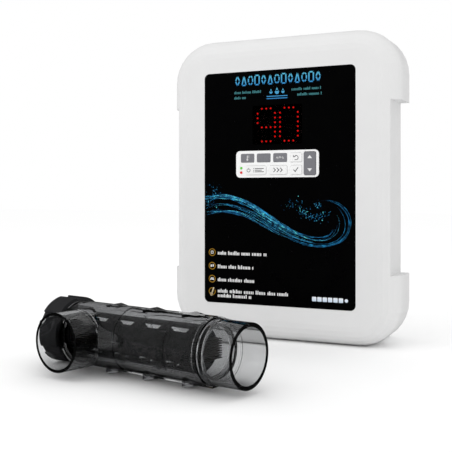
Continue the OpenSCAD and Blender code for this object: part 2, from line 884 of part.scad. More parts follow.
// One half of the electrode cage: the upper one, or its mirror below
module cage_half(upper) {
    bays = ceil((cage_end - cage_x) / bay_l);
    end_web = 3;
    room_w = plate_w + 0.4;
    difference() {
        intersection() {
            along_x(cage_x) cylinder(r = cage_r, h = cage_end - cage_x);
            translate([cage_x - 1, -30, 0.1]) cube([cage_end - cage_x + 2, 60, 40]);
        }
        along_x(cage_x + end_web) cylinder(r = cage_in, h = cage_end - cage_x - 2 * end_web);
        for (i = [1:bays]) {
            x = cage_end - i * bay_l;
            // windows high on the branch side and low on the other side, or the other way round
            cage_window(x, -1, upper);
            cage_window(x + window_shift, 1, upper);
            // notch across the top between neighbouring bays
            translate([x, 40, cage_r + EPS]) rotate([90, 0, 0]) linear_extrude(80)
                polygon([[-4, 1], [-4, 0], [0, -4.5], [4, 0], [4, 1]]);
        }
        translate([cage_x - 1, -room_w / 2, -1])
            cube([cage_end - cage_x + 2, room_w, stack_room + 1]);
        // room for the plates' tabs
        translate([cage_x - 1, -stud_y - tab_w / 2 - slip, -1])
            cube([plate_x - cage_x + 2, 2 * (stud_y + tab_w / 2 + slip), stack_room + 1]);
        // inlet opening towards the branch
        translate([-stop_r, -30, -1]) cube([2 * stop_r, 15, 8]);
        along_x(cage_x - 1, 0, rod_z) cylinder(r = rod_r + slip, h = 6);
    }
}

// Window through one side of the cage, in the bay that starts at x
module cage_window(x, side, upper) {
    x0 = max(x + web / 2, cage_x + 4);
    x1 = min(x + bay_l - web / 2, cage_end - 4);
    high = (side < 0) == upper;
    low_z = high ? cage_r * 0.7 : stack_room - 1;
    high_z = high ? cage_r * 0.93 : cage_r * 0.66;
    if (x1 - x0 > web)
        translate([0, side < 0 ? 0 : 40, 0]) rotate([90, 0, 0]) linear_extrude(40)
            polygon(upper
                ? [[x0, high_z], [x1, high_z], [x1 - 3, low_z], [x0 + 2, low_z]]
                : [[x0, low_z], [x0, high_z], [x1, (low_z + high_z) / 2 + 0.5],
                   [x1, (low_z + high_z) / 2 - 0.5]]);
}

module cage_upper() { color("black") at_cell() cage_half(true); }
module cage_lower() { color("black") at_cell() mirror([0, 0, 1]) cage_half(false); }

// Electrode plate i: odd plates are tabbed to the anode, even ones to the cathode
module electrode_plate(i) {
    side = i % 2 == 1 ? 1 : -1;
    z = (i - (PLATES + 1) / 2) * plate_pitch;
    color("darkgray")
    at_cell()
    translate([0, 0, z - plate_t / 2]) {
        translate([plate_x, -plate_w / 2, 0]) cube([plate_end - plate_x, plate_w, plate_t]);
        translate([plate_x - tab_l, side * stud_y - tab_w / 2, 0])
            cube([tab_l + 1, tab_w, plate_t]);
    }
}

// Stud through the head, with the bar that its plates' tabs are welded to
module stud(side) {
    bar_x = plate_x - tab_l - 4;
    along_x(head_back - stud_tail, side * stud_y, 0)
        cylinder(r = stud_r, h = bar_x - head_back + stud_tail + 1);
    translate([bar_x, side * stud_y - 4, -stack_h / 2]) cube([4, 8, stack_h]);
}

module anode_stud() { color("silver") at_cell() stud(1); }
module cathode_stud() { color("silver") at_cell() stud(-1); }

module sensing_rod() {
    x0 = head_back - stud_tail;
    color("silver") at_cell() along_x(x0, 0, rod_z) cylinder(r = rod_r, h = cage_x + 9 - x0);
}

module stud_nuts() {
    color("gold")
    at_cell()
    for (s = [-1, 1])
        along_x(head_back - stud_nut_l, s * stud_y, 0)
            difference() {
                cylinder(r = 5.5, h = stud_nut_l, $fn = 6);
                translate([0, 0, -1]) cylinder(r = stud_r + 0.05, h = 8);
            }
}

module terminal_cover() {
    x1 = collar_x - head_t - step_l - slip;
    color("black")
    at_cell()
    difference() {
        union() {
            along_x(x1 - cover_l) cylinder(r = neck2_r + cover_wall, h = cover_l);
            along_x(x1 - cover_l - 2) cylinder(r = cable_r + 3, h = 3);
        }
        along_x(x1 - cover_l + cover_wall) cylinder(r = neck2_r + 0.1, h = cover_l);
        along_x(x1 - cover_l - 3) cylinder(r = cable_r, h = 12);
    }
}

front_cover();
base_back();
base_walls();
base_rim();
gland_shelf();
cover_gasket();
front_overlay();
display_window();
keypad_frame();
temp_lens();
spare_lens();
salt_lens();
green_led();
red_led();
tens_display();
units_display();
lit_dots();
display_board();
key_switches();
menu_key();
boost_key();
back_key();
confirm_key();
level_rocker();
power_board();
transformer();
heat_sink();
terminal_block();
capacitors();
fuse_holder();
fuse();
fuse_cap();
ribbon_cable();
cover_screws();
mains_gland();
cell_gland();
sensor_gland();
mains_gland_nut();
cell_gland_nut();
sensor_gland_nut();
cell_housing();
union_nut();
cell_head();
head_seal();
cage_upper();
cage_lower();
for (i = [1:PLATES])
    electrode_plate(i);
anode_stud();
cathode_stud();
sensing_rod();
stud_nuts();
terminal_cover();
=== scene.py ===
"""Looks of a salt chlorine generator: a wall control box and its in-line electrolysis cell."""

import json
import logging
import math
import random
from dataclasses import dataclass, field
from enum import Enum
from typing import Optional, Sequence

import bmesh
import bpy
from bmesh.types import BMesh
from mathutils import Matrix, Vector


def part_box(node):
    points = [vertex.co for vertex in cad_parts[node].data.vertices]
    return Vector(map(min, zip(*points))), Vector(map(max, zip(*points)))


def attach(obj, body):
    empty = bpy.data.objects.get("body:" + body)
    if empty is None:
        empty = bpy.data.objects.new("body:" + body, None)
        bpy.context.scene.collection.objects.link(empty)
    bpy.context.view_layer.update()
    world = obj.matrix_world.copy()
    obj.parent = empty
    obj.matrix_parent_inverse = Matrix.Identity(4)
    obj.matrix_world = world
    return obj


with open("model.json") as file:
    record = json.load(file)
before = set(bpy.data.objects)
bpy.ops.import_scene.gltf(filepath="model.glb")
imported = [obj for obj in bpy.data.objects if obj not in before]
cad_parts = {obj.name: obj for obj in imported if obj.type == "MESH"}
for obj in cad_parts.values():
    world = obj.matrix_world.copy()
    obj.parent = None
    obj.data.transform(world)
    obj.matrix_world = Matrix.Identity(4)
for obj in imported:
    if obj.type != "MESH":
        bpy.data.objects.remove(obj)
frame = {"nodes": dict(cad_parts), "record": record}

LOG = logging.getLogger("chlorinator")
MM = 0.001
SMOOTH_ANGLE = math.radians(32)
EDGE_ANGLE = math.radians(50)
WELD_REACH = 0.002 * MM
WAVE_PERIOD = 0.314  # distance between two bands of the wave texture at scale 1

Colour = tuple[float, float, float]


# ---- Places taken from the frame ---------------------------------------------


@dataclass(frozen=True)
class Span:
    """The box that a CAD node fills at rest, in metres."""

    low: Vector
    high: Vector

    @classmethod
    def of(cls, node: str) -> "Span":
        """Returns the span of a CAD node.

        Args:
            node: The node's name.

        Returns:
            Its lowest and highest corner as a span.
        """
        low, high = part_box(node)
        return cls(low, high)

    @property
    def centre(self) -> Vector:
        """The middle of the span."""
        return (self.low + self.high) / 2


# ---- Shader building ---------------------------------------------------------


class Shader:
    """Builds one node material on a Principled shader."""

    def __init__(self, name: str, colour: Colour, roughness: float, metallic: float = 0.0) -> None:
        """Starts a material.

        Args:
            name: The material's name.
            colour: Its base colour.
            roughness: Its roughness.
            metallic: 1 for bare metal.
        """
        self.material = bpy.data.materials.new(name)
        self.material.use_nodes = True
        self.nodes = self.material.node_tree.nodes
        self.links = self.material.node_tree.links
        self.base = self.nodes["Principled BSDF"]
        self.base.inputs["Base Color"].default_value = (*colour, 1)
        self.base.inputs["Roughness"].default_value = roughness
        self.base.inputs["Metallic"].default_value = metallic
        self.place = self.nodes.new("ShaderNodeTexCoord").outputs["Object"]

    def set(self, **values: float) -> "Shader":
        """Sets the Principled shader's own sockets.

        Args:
            **values: Socket names with spaces as underscores, and their values.

        Returns:
            The shader itself.
        """
        for key, value in values.items():
            self.base.inputs[key.replace("_", " ")].default_value = value
        return self

    def mapped(self, scale: Sequence[float], turn: Sequence[float] = (0, 0, 0)) -> bpy.types.NodeSocket:
        """Returns object coordinates stretched by a scale.

        Args:
            scale: The factors along X, Y and Z.
            turn: The turn about X, Y and Z, in radians.

        Returns:
            The coordinates' socket.
        """
        mapping = self.nodes.new("ShaderNodeMapping")
        mapping.inputs["Scale"].default_value = scale
        mapping.inputs["Rotation"].default_value = turn
        self.links.new(self.place, mapping.inputs["Vector"])
        return mapping.outputs["Vector"]

    def noise(self, size: float, detail: float = 3.0, vector: Optional[bpy.types.NodeSocket] = None,
              distortion: float = 0.0) -> bpy.types.NodeSocket:
        """Returns a noise pattern.

        Args:
            size: The pattern's feature size in metres.
            detail: Its number of octaves.
            vector: Its coordinates, if not the object's own.
            distortion: How far it is warped.

        Returns:
            The pattern's socket.
        """
        noise = self.nodes.new("ShaderNodeTexNoise")
        noise.inputs["Scale"].default_value = 1 / size
        noise.inputs["Detail"].default_value = detail
        noise.inputs["Distortion"].default_value = distortion
        self.links.new(vector or self.place, noise.inputs["Vector"])
        return noise.outputs["Fac"]

    def cells(self, size: float) -> bpy.types.NodeSocket:
        """Returns the distance pattern of small round cells.

        Args:
            size: The cells' size in metres.

        Returns:
            The pattern's socket.
        """
        cells = self.nodes.new("ShaderNodeTexVoronoi")
        cells.inputs["Scale"].default_value = 1 / size
        self.links.new(self.place, cells.inputs["Vector"])
        return cells.outputs["Distance"]

    def bands(self, pitch: float, axis: str, distortion: float = 0.0) -> bpy.types.NodeSocket:
        """Returns straight bands across an axis.

        Args:
            pitch: The distance between two bands in metres.
            axis: The axis, X, Y or Z.
            distortion: How far they waver.

        Returns:
            The pattern's socket.
        """
        wave = self.nodes.new("ShaderNodeTexWave")
        wave.bands_direction = axis
        wave.inputs["Scale"].default_value = WAVE_PERIOD / pitch
        wave.inputs["Distortion"].default_value = distortion
        self.links.new(self.place, wave.inputs["Vector"])
        return wave.outputs["Fac"]

    def span(self, value: bpy.types.NodeSocket, low: float, high: float,
             start: float = 0.3, end: float = 0.7) -> bpy.types.NodeSocket:
        """Returns a pattern mapped to a range.

        Args:
            value: The pattern.
            low: The result where the pattern is at start.
            high: The result where the pattern is at end.
            start: The pattern's lower limit.
            end: The pattern's upper limit.

        Returns:
            The mapped pattern's socket.
        """
        ranged = self.nodes.new("ShaderNodeMapRange")
        ranged.inputs["From Min"].default_value = start
        ranged.inputs["From Max"].default_value = end
        ranged.inputs["To Min"].default_value = low
        ranged.inputs["To Max"].default_value = high
        self.links.new(value, ranged.inputs["Value"])
        return ranged.outputs["Result"]

    def ramp(self, value: bpy.types.NodeSocket,
             stops: Sequence[tuple[float, Colour]]) -> bpy.types.NodeSocket:
        """Returns a pattern turned into colours.

        Args:
            value: The pattern.
            stops: Pairs of a position and a colour, in order.

        Returns:
            The colours' socket.
        """
        ramp = self.nodes.new("ShaderNodeValToRGB")
        elements = ramp.color_ramp.elements
        elements[0].position, elements[0].color = stops[0][0], (*stops[0][1], 1)
        elements[1].position, elements[1].color = stops[-1][0], (*stops[-1][1], 1)
        for position, colour in stops[1:-1]:
            elements.new(position).color = (*colour, 1)
        self.links.new(value, ramp.inputs["Fac"])
        return ramp.outputs["Color"]

    def blend(self, factor: bpy.types.NodeSocket, under: bpy.types.NodeSocket,
              over: Colour) -> bpy.types.NodeSocket:
        """Returns a colour laid over others where a pattern is high.

        Args:
            factor: The pattern.
            under: The colours where it is 0.
            over: The colour where it is 1.

        Returns:
            The blended colours' socket.
        """
        mix = self.nodes.new("ShaderNodeMix")
        mix.data_type = "RGBA"
        self.links.new(factor, mix.inputs["Factor"])
        self.links.new(under, mix.inputs["A"])
        mix.inputs["B"].default_value = (*over, 1)
        return mix.outputs["Result"]

    def along(self, axis: str) -> bpy.types.NodeSocket:
        """Returns the object coordinate along an axis.

        Args:
            axis: The axis, X, Y or Z.

        Returns:
            The coordinate's socket.
        """
        split = self.nodes.new("ShaderNodeSeparateXYZ")
        self.links.new(self.place, split.inputs["Vector"])
        return split.outputs[axis]

    def colour(self, socket: bpy.types.NodeSocket) -> "Shader":
        """Paints the base colour from a socket and returns the shader."""
        self.links.new(socket, self.base.inputs["Base Color"])
        return self

    def roughness(self, socket: bpy.types.NodeSocket) -> "Shader":
        """Takes the roughness from a socket and returns the shader."""
        self.links.new(socket, self.base.inputs["Roughness"])
        return self

    def bump(self, height: bpy.types.NodeSocket, depth: float, strength: float = 1.0) -> "Shader":
        """Adds a bump over any earlier one.

        Args:
            height: The pattern.
            depth: The height of its full range in metres.
            strength: How strongly it shows.

        Returns:
            The shader itself.
        """
        bump = self.nodes.new("ShaderNodeBump")
        bump.inputs["Distance"].default_value = depth
        bump.inputs["Strength"].default_value = strength
        self.links.new(height, bump.inputs["Height"])
        normal = self.base.inputs["Normal"]
        if normal.is_linked:
            self.links.new(normal.links[0].from_socket, bump.inputs["Normal"])
        self.links.new(bump.outputs["Normal"], normal)
        return self


def shade(colour: Colour, factor: float) -> Colour:
    """Returns a colour made lighter or darker.

    Args:
        colour: The colour.
        factor: Above 1 for lighter.

    Returns:
        The new colour, with no channel above 1.
    """
    return tuple(min(1.0, channel * factor) for channel in colour)


# ---- Finishes ----------------------------------------------------------------


@dataclass(frozen=True)
class Finish:
    """A finish with a name, a colour and a roughness."""

    name: str
    colour: Colour
    roughness: float

    def build(self) -> bpy.types.Material:
        """Builds the finish.

        Returns:
            Its new material.
        """
        raise NotImplementedError


@dataclass(frozen=True)
class MouldedPlastic(Finish):
    """Moulded plastic with a fine eroded grain and faint flow marks."""

    grain: float = 0.7 * MM
    grain_depth: float = 0.02 * MM
    mottle: float = 0.03
    coat: float = 0.0
    gloss: float = 0.5

    def build(self) -> bpy.types.Material:
        """Builds the finish.

        Returns:
            Its new material.
        """
        s = Shader(self.name, self.colour, self.roughness)
        flow = s.noise(45 * MM, 4, distortion=0.4)
        s.colour(s.ramp(flow, [(0.3, shade(self.colour, 1 - self.mottle)),
                               (0.7, shade(self.colour, 1 + self.mottle))]))
        s.roughness(s.span(s.noise(9 * MM, 5), self.roughness * 0.9, min(1.0, self.roughness * 1.12)))
        s.bump(s.noise(self.grain, 2), self.grain_depth)
        s.bump(s.cells(self.grain * 1.7), self.grain_depth * 0.6, 0.6)
        return s.set(Coat_Weight=self.coat, Coat_Roughness=0.12, Specular_IOR_Level=self.gloss).material


@dataclass(frozen=True)
class GlossFilm(Finish):
    """Printed polyester film: even colour under a smooth gloss with faint orange peel."""

    coat: float = 0.0
    gloss: float = 0.08

    def build(self) -> bpy.types.Material:
        """Builds the finish.

        Returns:
            Its new material.
        """
        s = Shader(self.name, self.colour, self.roughness)
        s.colour(s.ramp(s.noise(30 * MM, 3), [(0.35, shade(self.colour, 0.9)),
                                              (0.65, shade(self.colour, 1.1))]))
        s.roughness(s.span(s.noise(14 * MM, 4), self.roughness * 0.8, self.roughness * 1.3))
        s.bump(s.noise(5 * MM, 2), 0.01 * MM, 0.5)
        return s.set(Coat_Weight=self.coat, Coat_Roughness=0.05, Specular_IOR_Level=self.gloss).material


@dataclass(frozen=True)
class SmokedClear(Finish):
    """Clear plastic tinted in the mass, with faint flow lines."""

    density: float = 60.0
    depth_colour: Colour = (0.5, 0.5, 0.51)
    flow_depth: float = 0.03 * MM
    ior: float = 1.49

    def build(self) -> bpy.types.Material:
        """Builds the finish.

        Returns:
            Its new material.
        """
        s = Shader(self.name, self.colour, self.roughness)
        s.set(Transmission_Weight=1.0, IOR=self.ior)
        s.roughness(s.span(s.noise(12 * MM, 4), self.roughness * 0.7, self.roughness * 1.6))
        s.bump(s.noise(16 * MM, 2, distortion=0.6), self.flow_depth, 0.5)
        absorb = s.nodes.new("ShaderNodeVolumeAbsorption")
        absorb.inputs["Color"].default_value = (*self.depth_colour, 1)
        absorb.inputs["Density"].default_value = self.density
        output = next(n for n in s.nodes if n.type == "OUTPUT_MATERIAL")
        s.links.new(absorb.outputs["Volume"], output.inputs["Volume"])
        return s.material


@dataclass(frozen=True)
class Rubber(Finish):
    """Moulded rubber with a dry bloom."""

    def build(self) -> bpy.types.Material:
        """Builds the finish.

        Returns:
            Its new material.
        """
        s = Shader(self.name, self.colour, self.roughness)
        bloom = s.noise(6 * MM, 6)
        s.colour(s.ramp(bloom, [(0.4, self.colour), (0.75, shade(self.colour, 1.8))]))
        s.roughness(s.span(bloom, self.roughness, 0.95))
        return s.bump(s.noise(0.5 * MM, 3), 0.02 * MM).material


@dataclass(frozen=True)
class WorkedMetal(Finish):
    """Metal with the lines of its drawing, rolling or turning."""

    lines: tuple[float, float, float] = (1, 1, 30)
    tint: float = 0.12
    depth: float = 0.01 * MM

    def build(self) -> bpy.types.Material:
        """Builds the finish.

        Returns:
            Its new material.
        """
        s = Shader(self.name, self.colour, self.roughness, 1.0)
        grain = s.noise(6 * MM, 5, s.mapped(self.lines))
        s.colour(s.ramp(grain, [(0.3, shade(self.colour, 1 - self.tint)),
                                (0.7, shade(self.colour, 1 + self.tint))]))
        s.roughness(s.span(grain, self.roughness * 0.75, self.roughness * 1.35))
        return s.bump(grain, self.depth).material


@dataclass(frozen=True)
class Glow(Finish):
    """Diffused lamp lens that is lit from inside."""

    strength: float = 1.0

    def build(self) -> bpy.types.Material:
        """Builds the finish.

        Returns:
            Its new material.
        """
        s = Shader(self.name, self.colour, self.roughness)
        s.set(Emission_Strength=self.strength)
        s.base.inputs["Emission Color"].default_value = (*self.colour, 1)
        s.roughness(s.span(s.noise(0.8 * MM, 3), self.roughness * 0.8, self.roughness * 1.3))
        return s.bump(s.noise(0.4 * MM, 2), 0.01 * MM).material


@dataclass(frozen=True)
class CircuitBoard(Finish):
    """Board with a solder mask over tracks and plated pads."""

    track: Colour = (0.06, 0.28, 0.12)
    pad: Colour = (0.75, 0.62, 0.32)

    def build(self) -> bpy.types.Material:
        """Builds the finish.

        Returns:
            Its new material.
        """
        s = Shader(self.name, self.colour, self.roughness)
        brick = s.nodes.new("ShaderNodeTexBrick")
        brick.inputs["Scale"].default_value = 1 / (16 * MM)
        brick.inputs["Mortar Size"].default_value = 0.05
        brick.inputs["Color1"].default_value = (*self.colour, 1)
        brick.inputs["Color2"].default_value = (*shade(self.colour, 1.2), 1)
        brick.inputs["Mortar"].default_value = (*self.track, 1)
        s.links.new(s.mapped((1, 1, 1), (math.pi / 2, 0, 0)), brick.inputs["Vector"])
        pads = s.span(s.cells(5 * MM), 1, 0, 0.12, 0.16)
        s.colour(s.blend(pads, brick.outputs["Color"], self.pad))
        s.bump(brick.outputs["Fac"], 0.03 * MM, 0.5)
        return s.bump(pads, 0.04 * MM, 0.6).material


@dataclass(frozen=True)
class Winding(Finish):
    """Lacquered copper wire wound round a ring core, with painted shade between the turns and a painted
    highlight along each turn.
    """

    centre: tuple[float, float, float] = (0, 0, 0)
    turns: int = 150

    def build(self) -> bpy.types.Material:
        """Builds the finish.

        Returns:
            Its new material.
        """
        s = Shader(self.name, self.colour, self.roughness, 1.0)
        mapping = s.nodes.new("ShaderNodeMapping")
        mapping.vector_type = "POINT"
        mapping.inputs["Location"].default_value = (-self.centre[0], self.centre[2], -self.centre[1])
        mapping.inputs["Rotation"].default_value = (math.pi / 2, 0, 0)
        s.links.new(s.place, mapping.inputs["Vector"])
        sweep = s.nodes.new("ShaderNodeTexGradient")
        sweep.gradient_type = "RADIAL"
        s.links.new(mapping.outputs["Vector"], sweep.inputs["Vector"])
        times = s.nodes.new("ShaderNodeMath")
        times.operation = "PINGPONG"
        times.inputs[1].default_value = 0.5 / self.turns
        s.links.new(sweep.outputs["Fac"], times.inputs[0])
        wire = s.span(times.outputs["Value"], 0, 1, 0, 0.5 / self.turns)
        # Painted shade where the turns meet, and a painted highlight along the middle of each turn.
        s.colour(s.ramp(wire, [(0.0, shade(self.colour, 0.35)), (0.5, self.colour),
                               (1.0, shade(self.colour, 1.25))]))
        return s.bump(wire, 0.4 * MM).material


@dataclass(frozen=True)
class FlatCable(Finish):
    """Flat cable whose wires run side by side, with one marked edge and painted shade in the grooves between
    the wires.
    """

    pitch: float = 1.27 * MM
    mark: Colour = (0.6, 0.05, 0.04)
    mark_from: float = 8.7 * MM

    def build(self) -> bpy.types.Material:
        """Builds the finish.

        Returns:
            Its new material.
        """
        s = Shader(self.name, self.colour, self.roughness)
        wires = s.bands(self.pitch, "X")
        edge = s.span(s.along("X"), 0, 1, self.mark_from, self.mark_from + 0.1 * MM)
        # Painted shade: the colour darkens in the grooves between the wires, where the bump is low.
        groove_shaded_wires = s.ramp(wires, [(0.0, shade(self.colour, 0.7)), (0.6, self.colour)])
        s.colour(s.blend(edge, groove_shaded_wires, self.mark))
        return s.bump(wires, 0.4 * MM).material


class Slot(Enum):
    """The material slots of the record, each with its finish."""

    SHELL_WHITE = MouldedPlastic("shell_white", (0.77, 0.77, 0.77), 0.55, grain_depth=0.03 * MM, mottle=0.012)
    BASE_GREY = MouldedPlastic("base_grey", (0.68, 0.69, 0.69), 0.55, grain_depth=0.03 * MM, mottle=0.02)
    SEAL_RUBBER = Rubber("seal_rubber", (0.03, 0.03, 0.03), 0.75)
    ORING_RUBBER = Rubber("oring_rubber", (0.28, 0.04, 0.015), 0.6)
    PANEL_BLACK = GlossFilm("panel_black", (0.0006, 0.0006, 0.0008), 0.3)
    WINDOW_SMOKE = SmokedClear("window_smoke", (0.62, 0.56, 0.56), 0.008, density=300.0,
                               depth_colour=(0.6, 0.2, 0.2), flow_depth=0.0, ior=1.04)
    KEYPAD_WHITE = MouldedPlastic("keypad_white", (0.96, 0.96, 0.96), 0.35, 0.5 * MM, 0.006 * MM, 0.01, 0.2)
    LENS_GREY = MouldedPlastic("lens_grey", (0.21, 0.21, 0.23), 0.3, 0.5 * MM, 0.004 * MM, 0.03, 0.3)
    ROCKER_GREY = MouldedPlastic("rocker_grey", (0.20, 0.20, 0.22), 0.42, 0.5 * MM, 0.012 * MM, 0.03)
    KEY_WHITE = MouldedPlastic("key_white", (0.92, 0.92, 0.92), 0.38, 0.5 * MM, 0.01 * MM, 0.012)
    LED_GREEN = Glow("led_green", (0.08, 0.42, 0.03), 0.25, strength=0.5)
    LED_RED = Glow("led_red", (0.5, 0.006, 0.01), 0.25, strength=0.6)
    DIGIT_BLACK = MouldedPlastic("digit_black", (0.001, 0.001, 0.001), 0.8, 0.5 * MM, 0.01 * MM, 0.1,
                                 gloss=0.02)
    DOT_RED = Glow("dot_red", (0.9, 0.004, 0.002), 0.3, strength=1.0)
    BOARD_GREEN = CircuitBoard("board_green", (0.01, 0.12, 0.04), 0.35)
    SWITCH_BLACK = MouldedPlastic("switch_black", (0.02, 0.02, 0.02), 0.45, 0.4 * MM, 0.01 * MM, 0.08)
    WINDING_COPPER = Winding("winding_copper", (0.62, 0.30, 0.12), 0.3,
                             tuple(Span.of("transformer").centre))
    HEAT_SINK_ALUMINIUM = WorkedMetal("heat_sink_aluminium", (0.62, 0.63, 0.64), 0.35, (30, 30, 1))
    TERMINAL_GREEN = MouldedPlastic("terminal_green", (0.02, 0.24, 0.10), 0.45, 0.5 * MM, 0.01 * MM, 0.06)
    CAPACITOR_SLEEVE = GlossFilm("capacitor_sleeve", (0.012, 0.018, 0.06), 0.25, 0.4, 0.5)
    HOLDER_BLACK = MouldedPlastic("holder_black", (0.018, 0.018, 0.018), 0.5, 0.5 * MM, 0.02 * MM, 0.1)
    FUSE_METAL = WorkedMetal("fuse_metal", (0.78, 0.78, 0.77), 0.15, (1, 1, 20), 0.05, 0.003 * MM)
    RIBBON_GREY = FlatCable("ribbon_grey", (0.36, 0.37, 0.39), 0.5)
    SCREW_STEEL = WorkedMetal("screw_steel", (0.62, 0.61, 0.58), 0.28, (20, 1, 20), 0.1)
    GLAND_GREY = MouldedPlastic("gland_grey", (0.055, 0.057, 0.06), 0.5, 0.4 * MM, 0.02 * MM, 0.08)
    CELL_SMOKE = SmokedClear("cell_smoke", (0.93, 0.94, 0.94), 0.025, density=195.0)
    NUT_BLACK = MouldedPlastic("nut_black", (0.022, 0.022, 0.024), 0.36, 0.8 * MM, 0.02 * MM, 0.1)
    HEAD_BLACK = MouldedPlastic("head_black", (0.02, 0.02, 0.021), 0.4, 0.8 * MM, 0.02 * MM, 0.1)
    CAGE_BLACK = MouldedPlastic("cage_black", (0.004, 0.004, 0.0045), 0.6, 0.8 * MM, 0.015 * MM, 0.1,
                                gloss=0.1)
    PLATE_TITANIUM = WorkedMetal("plate_titanium", (0.035, 0.028, 0.022), 0.6, (1, 18, 18), 0.25, 0.02 * MM)
    STUD_TITANIUM = WorkedMetal("stud_titanium", (0.45, 0.43, 0.41), 0.3, (25, 2, 2), 0.12)
    NUT_BRASS = WorkedMetal("nut_brass", (0.70, 0.48, 0.18), 0.25, (20, 2, 2), 0.1)

    @property
    def material(self) -> bpy.types.Material:
        """The slot's material, made the first time it is asked for.

        Returns:
            The material.
        """
        found = bpy.data.materials.get(self.value.name + "_finish")
        if found is None:
            found = self.value.build()
            found.name = self.value.name + "_finish"
        return found

    @property
    def title(self) -> str:
        """The slot's name in the record."""
        return self.value.name


class Mesher:
    """Gathers bmesh shapes and turns them into one piece of the object."""

    def __init__(self) -> None:
        """Starts with no shapes."""
        self.bm: BMesh = bmesh.new()

    def block(self, centre: Vector, size: Sequence[float],
              turn: Optional[Matrix] = None) -> list[bmesh.types.BMVert]:
        """Adds a box.

        Args:
            centre: Its middle.
            size: Its lengths along X, Y and Z.
            turn: The rotation that it has.

        Returns:
            Its corners.
        """
        place = Matrix.Translation(centre) @ (turn or Matrix()) @ Matrix.Diagonal((*size, 1))
        return bmesh.ops.create_cube(self.bm, size=1, matrix=place)["verts"]

    def round_upright(self, corner_verts: list[bmesh.types.BMVert], radius: float, segments: int = 4) -> None:
        """Rounds the edges of a box that run along Y.

        Args:
            corner_verts: The box's corners.
            radius: The radius.
            segments: The number of steps in each rounding.
        """
        edges = dict.fromkeys(e for v in corner_verts for e in v.link_edges)
        along_y = [e for e in edges if abs((e.verts[0].co - e.verts[1].co).normalized().y) > 0.9]
        bmesh.ops.bevel(self.bm, geom=along_y, offset=radius, segments=segments, affect="EDGES", profile=0.5,
                        material=-1)

    def plate(self, centre: Vector, size: Sequence[float], radius: float,
              turn: Optional[Matrix] = None) -> None:
        """Adds a box whose corners are round when seen from the front.

        Args:
            centre: Its middle.
            size: Its lengths along X, Y and Z.
            radius: The corner radius.
            turn: The rotation about Y that it has.
        """
        self.round_upright(self.block(centre, size, turn), radius)

    def join(self, other: "Mesher") -> None:
        """Adds the shapes of another mesher.

        Args:
            other: The other mesher, which is used up.
        """
        mesh = bpy.data.meshes.new("joined")
        other.bm.to_mesh(mesh)
        other.bm.free()
        self.bm.from_mesh(mesh)
        bpy.data.meshes.remove(mesh)

    def piece(self, name: str, slot: Slot, body: str,
              finish: Optional[bpy.types.Material] = None) -> bpy.types.Object:
        """Turns the shapes into a piece that rides on a body.

        Args:
            name: The piece's name.
            slot: The material slot that it takes its finish from.
            body: The body that it rides on.
            finish: Its material, if not the slot's own.

        Returns:
            The piece.
        """
        mesh = bpy.data.meshes.new(name)
        self.bm.to_mesh(mesh)
        self.bm.free()
        mesh.materials.append(finish or slot.material)
        mesh.shade_smooth()
        mesh.set_sharp_from_angle(angle=SMOOTH_ANGLE)
        made = bpy.data.objects.new(name, mesh)
        bpy.context.collection.objects.link(made)
        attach(made, body)
        LOG.info("made %s with %d faces", name, len(mesh.polygons))
        return made


@dataclass(frozen=True)
class Ink(Finish):
    """Printing ink on film, from one colour below to another above."""

    upper: Optional[Colour] = None
    low_z: float = 0.0
    high_z: float = 1.0
    patch: float = 0.0

    def build(self) -> bpy.types.Material:
        """Builds the finish.

        Returns:
            Its new material.
        """
        s = Shader(self.name, self.colour, self.roughness)
        if self.patch:
            s.colour(s.ramp(s.noise(self.patch, 4), [
                (0.34, shade(self.colour, 0.15)), (0.45, self.colour), (0.55, shade(self.colour, 1.7)),
                (0.64, shade(self.upper or self.colour, 3.0))]))
        else:
            fade = s.span(s.along("Z"), 0, 1, self.low_z, self.high_z)
            s.colour(s.ramp(fade, [(0.0, self.colour), (1.0, self.upper or self.colour)]))
        s.roughness(s.span(s.noise(1.5 * MM, 3), self.roughness * 0.8, min(1.0, self.roughness * 1.2)))
        return s.set(Specular_IOR_Level=0.1).material


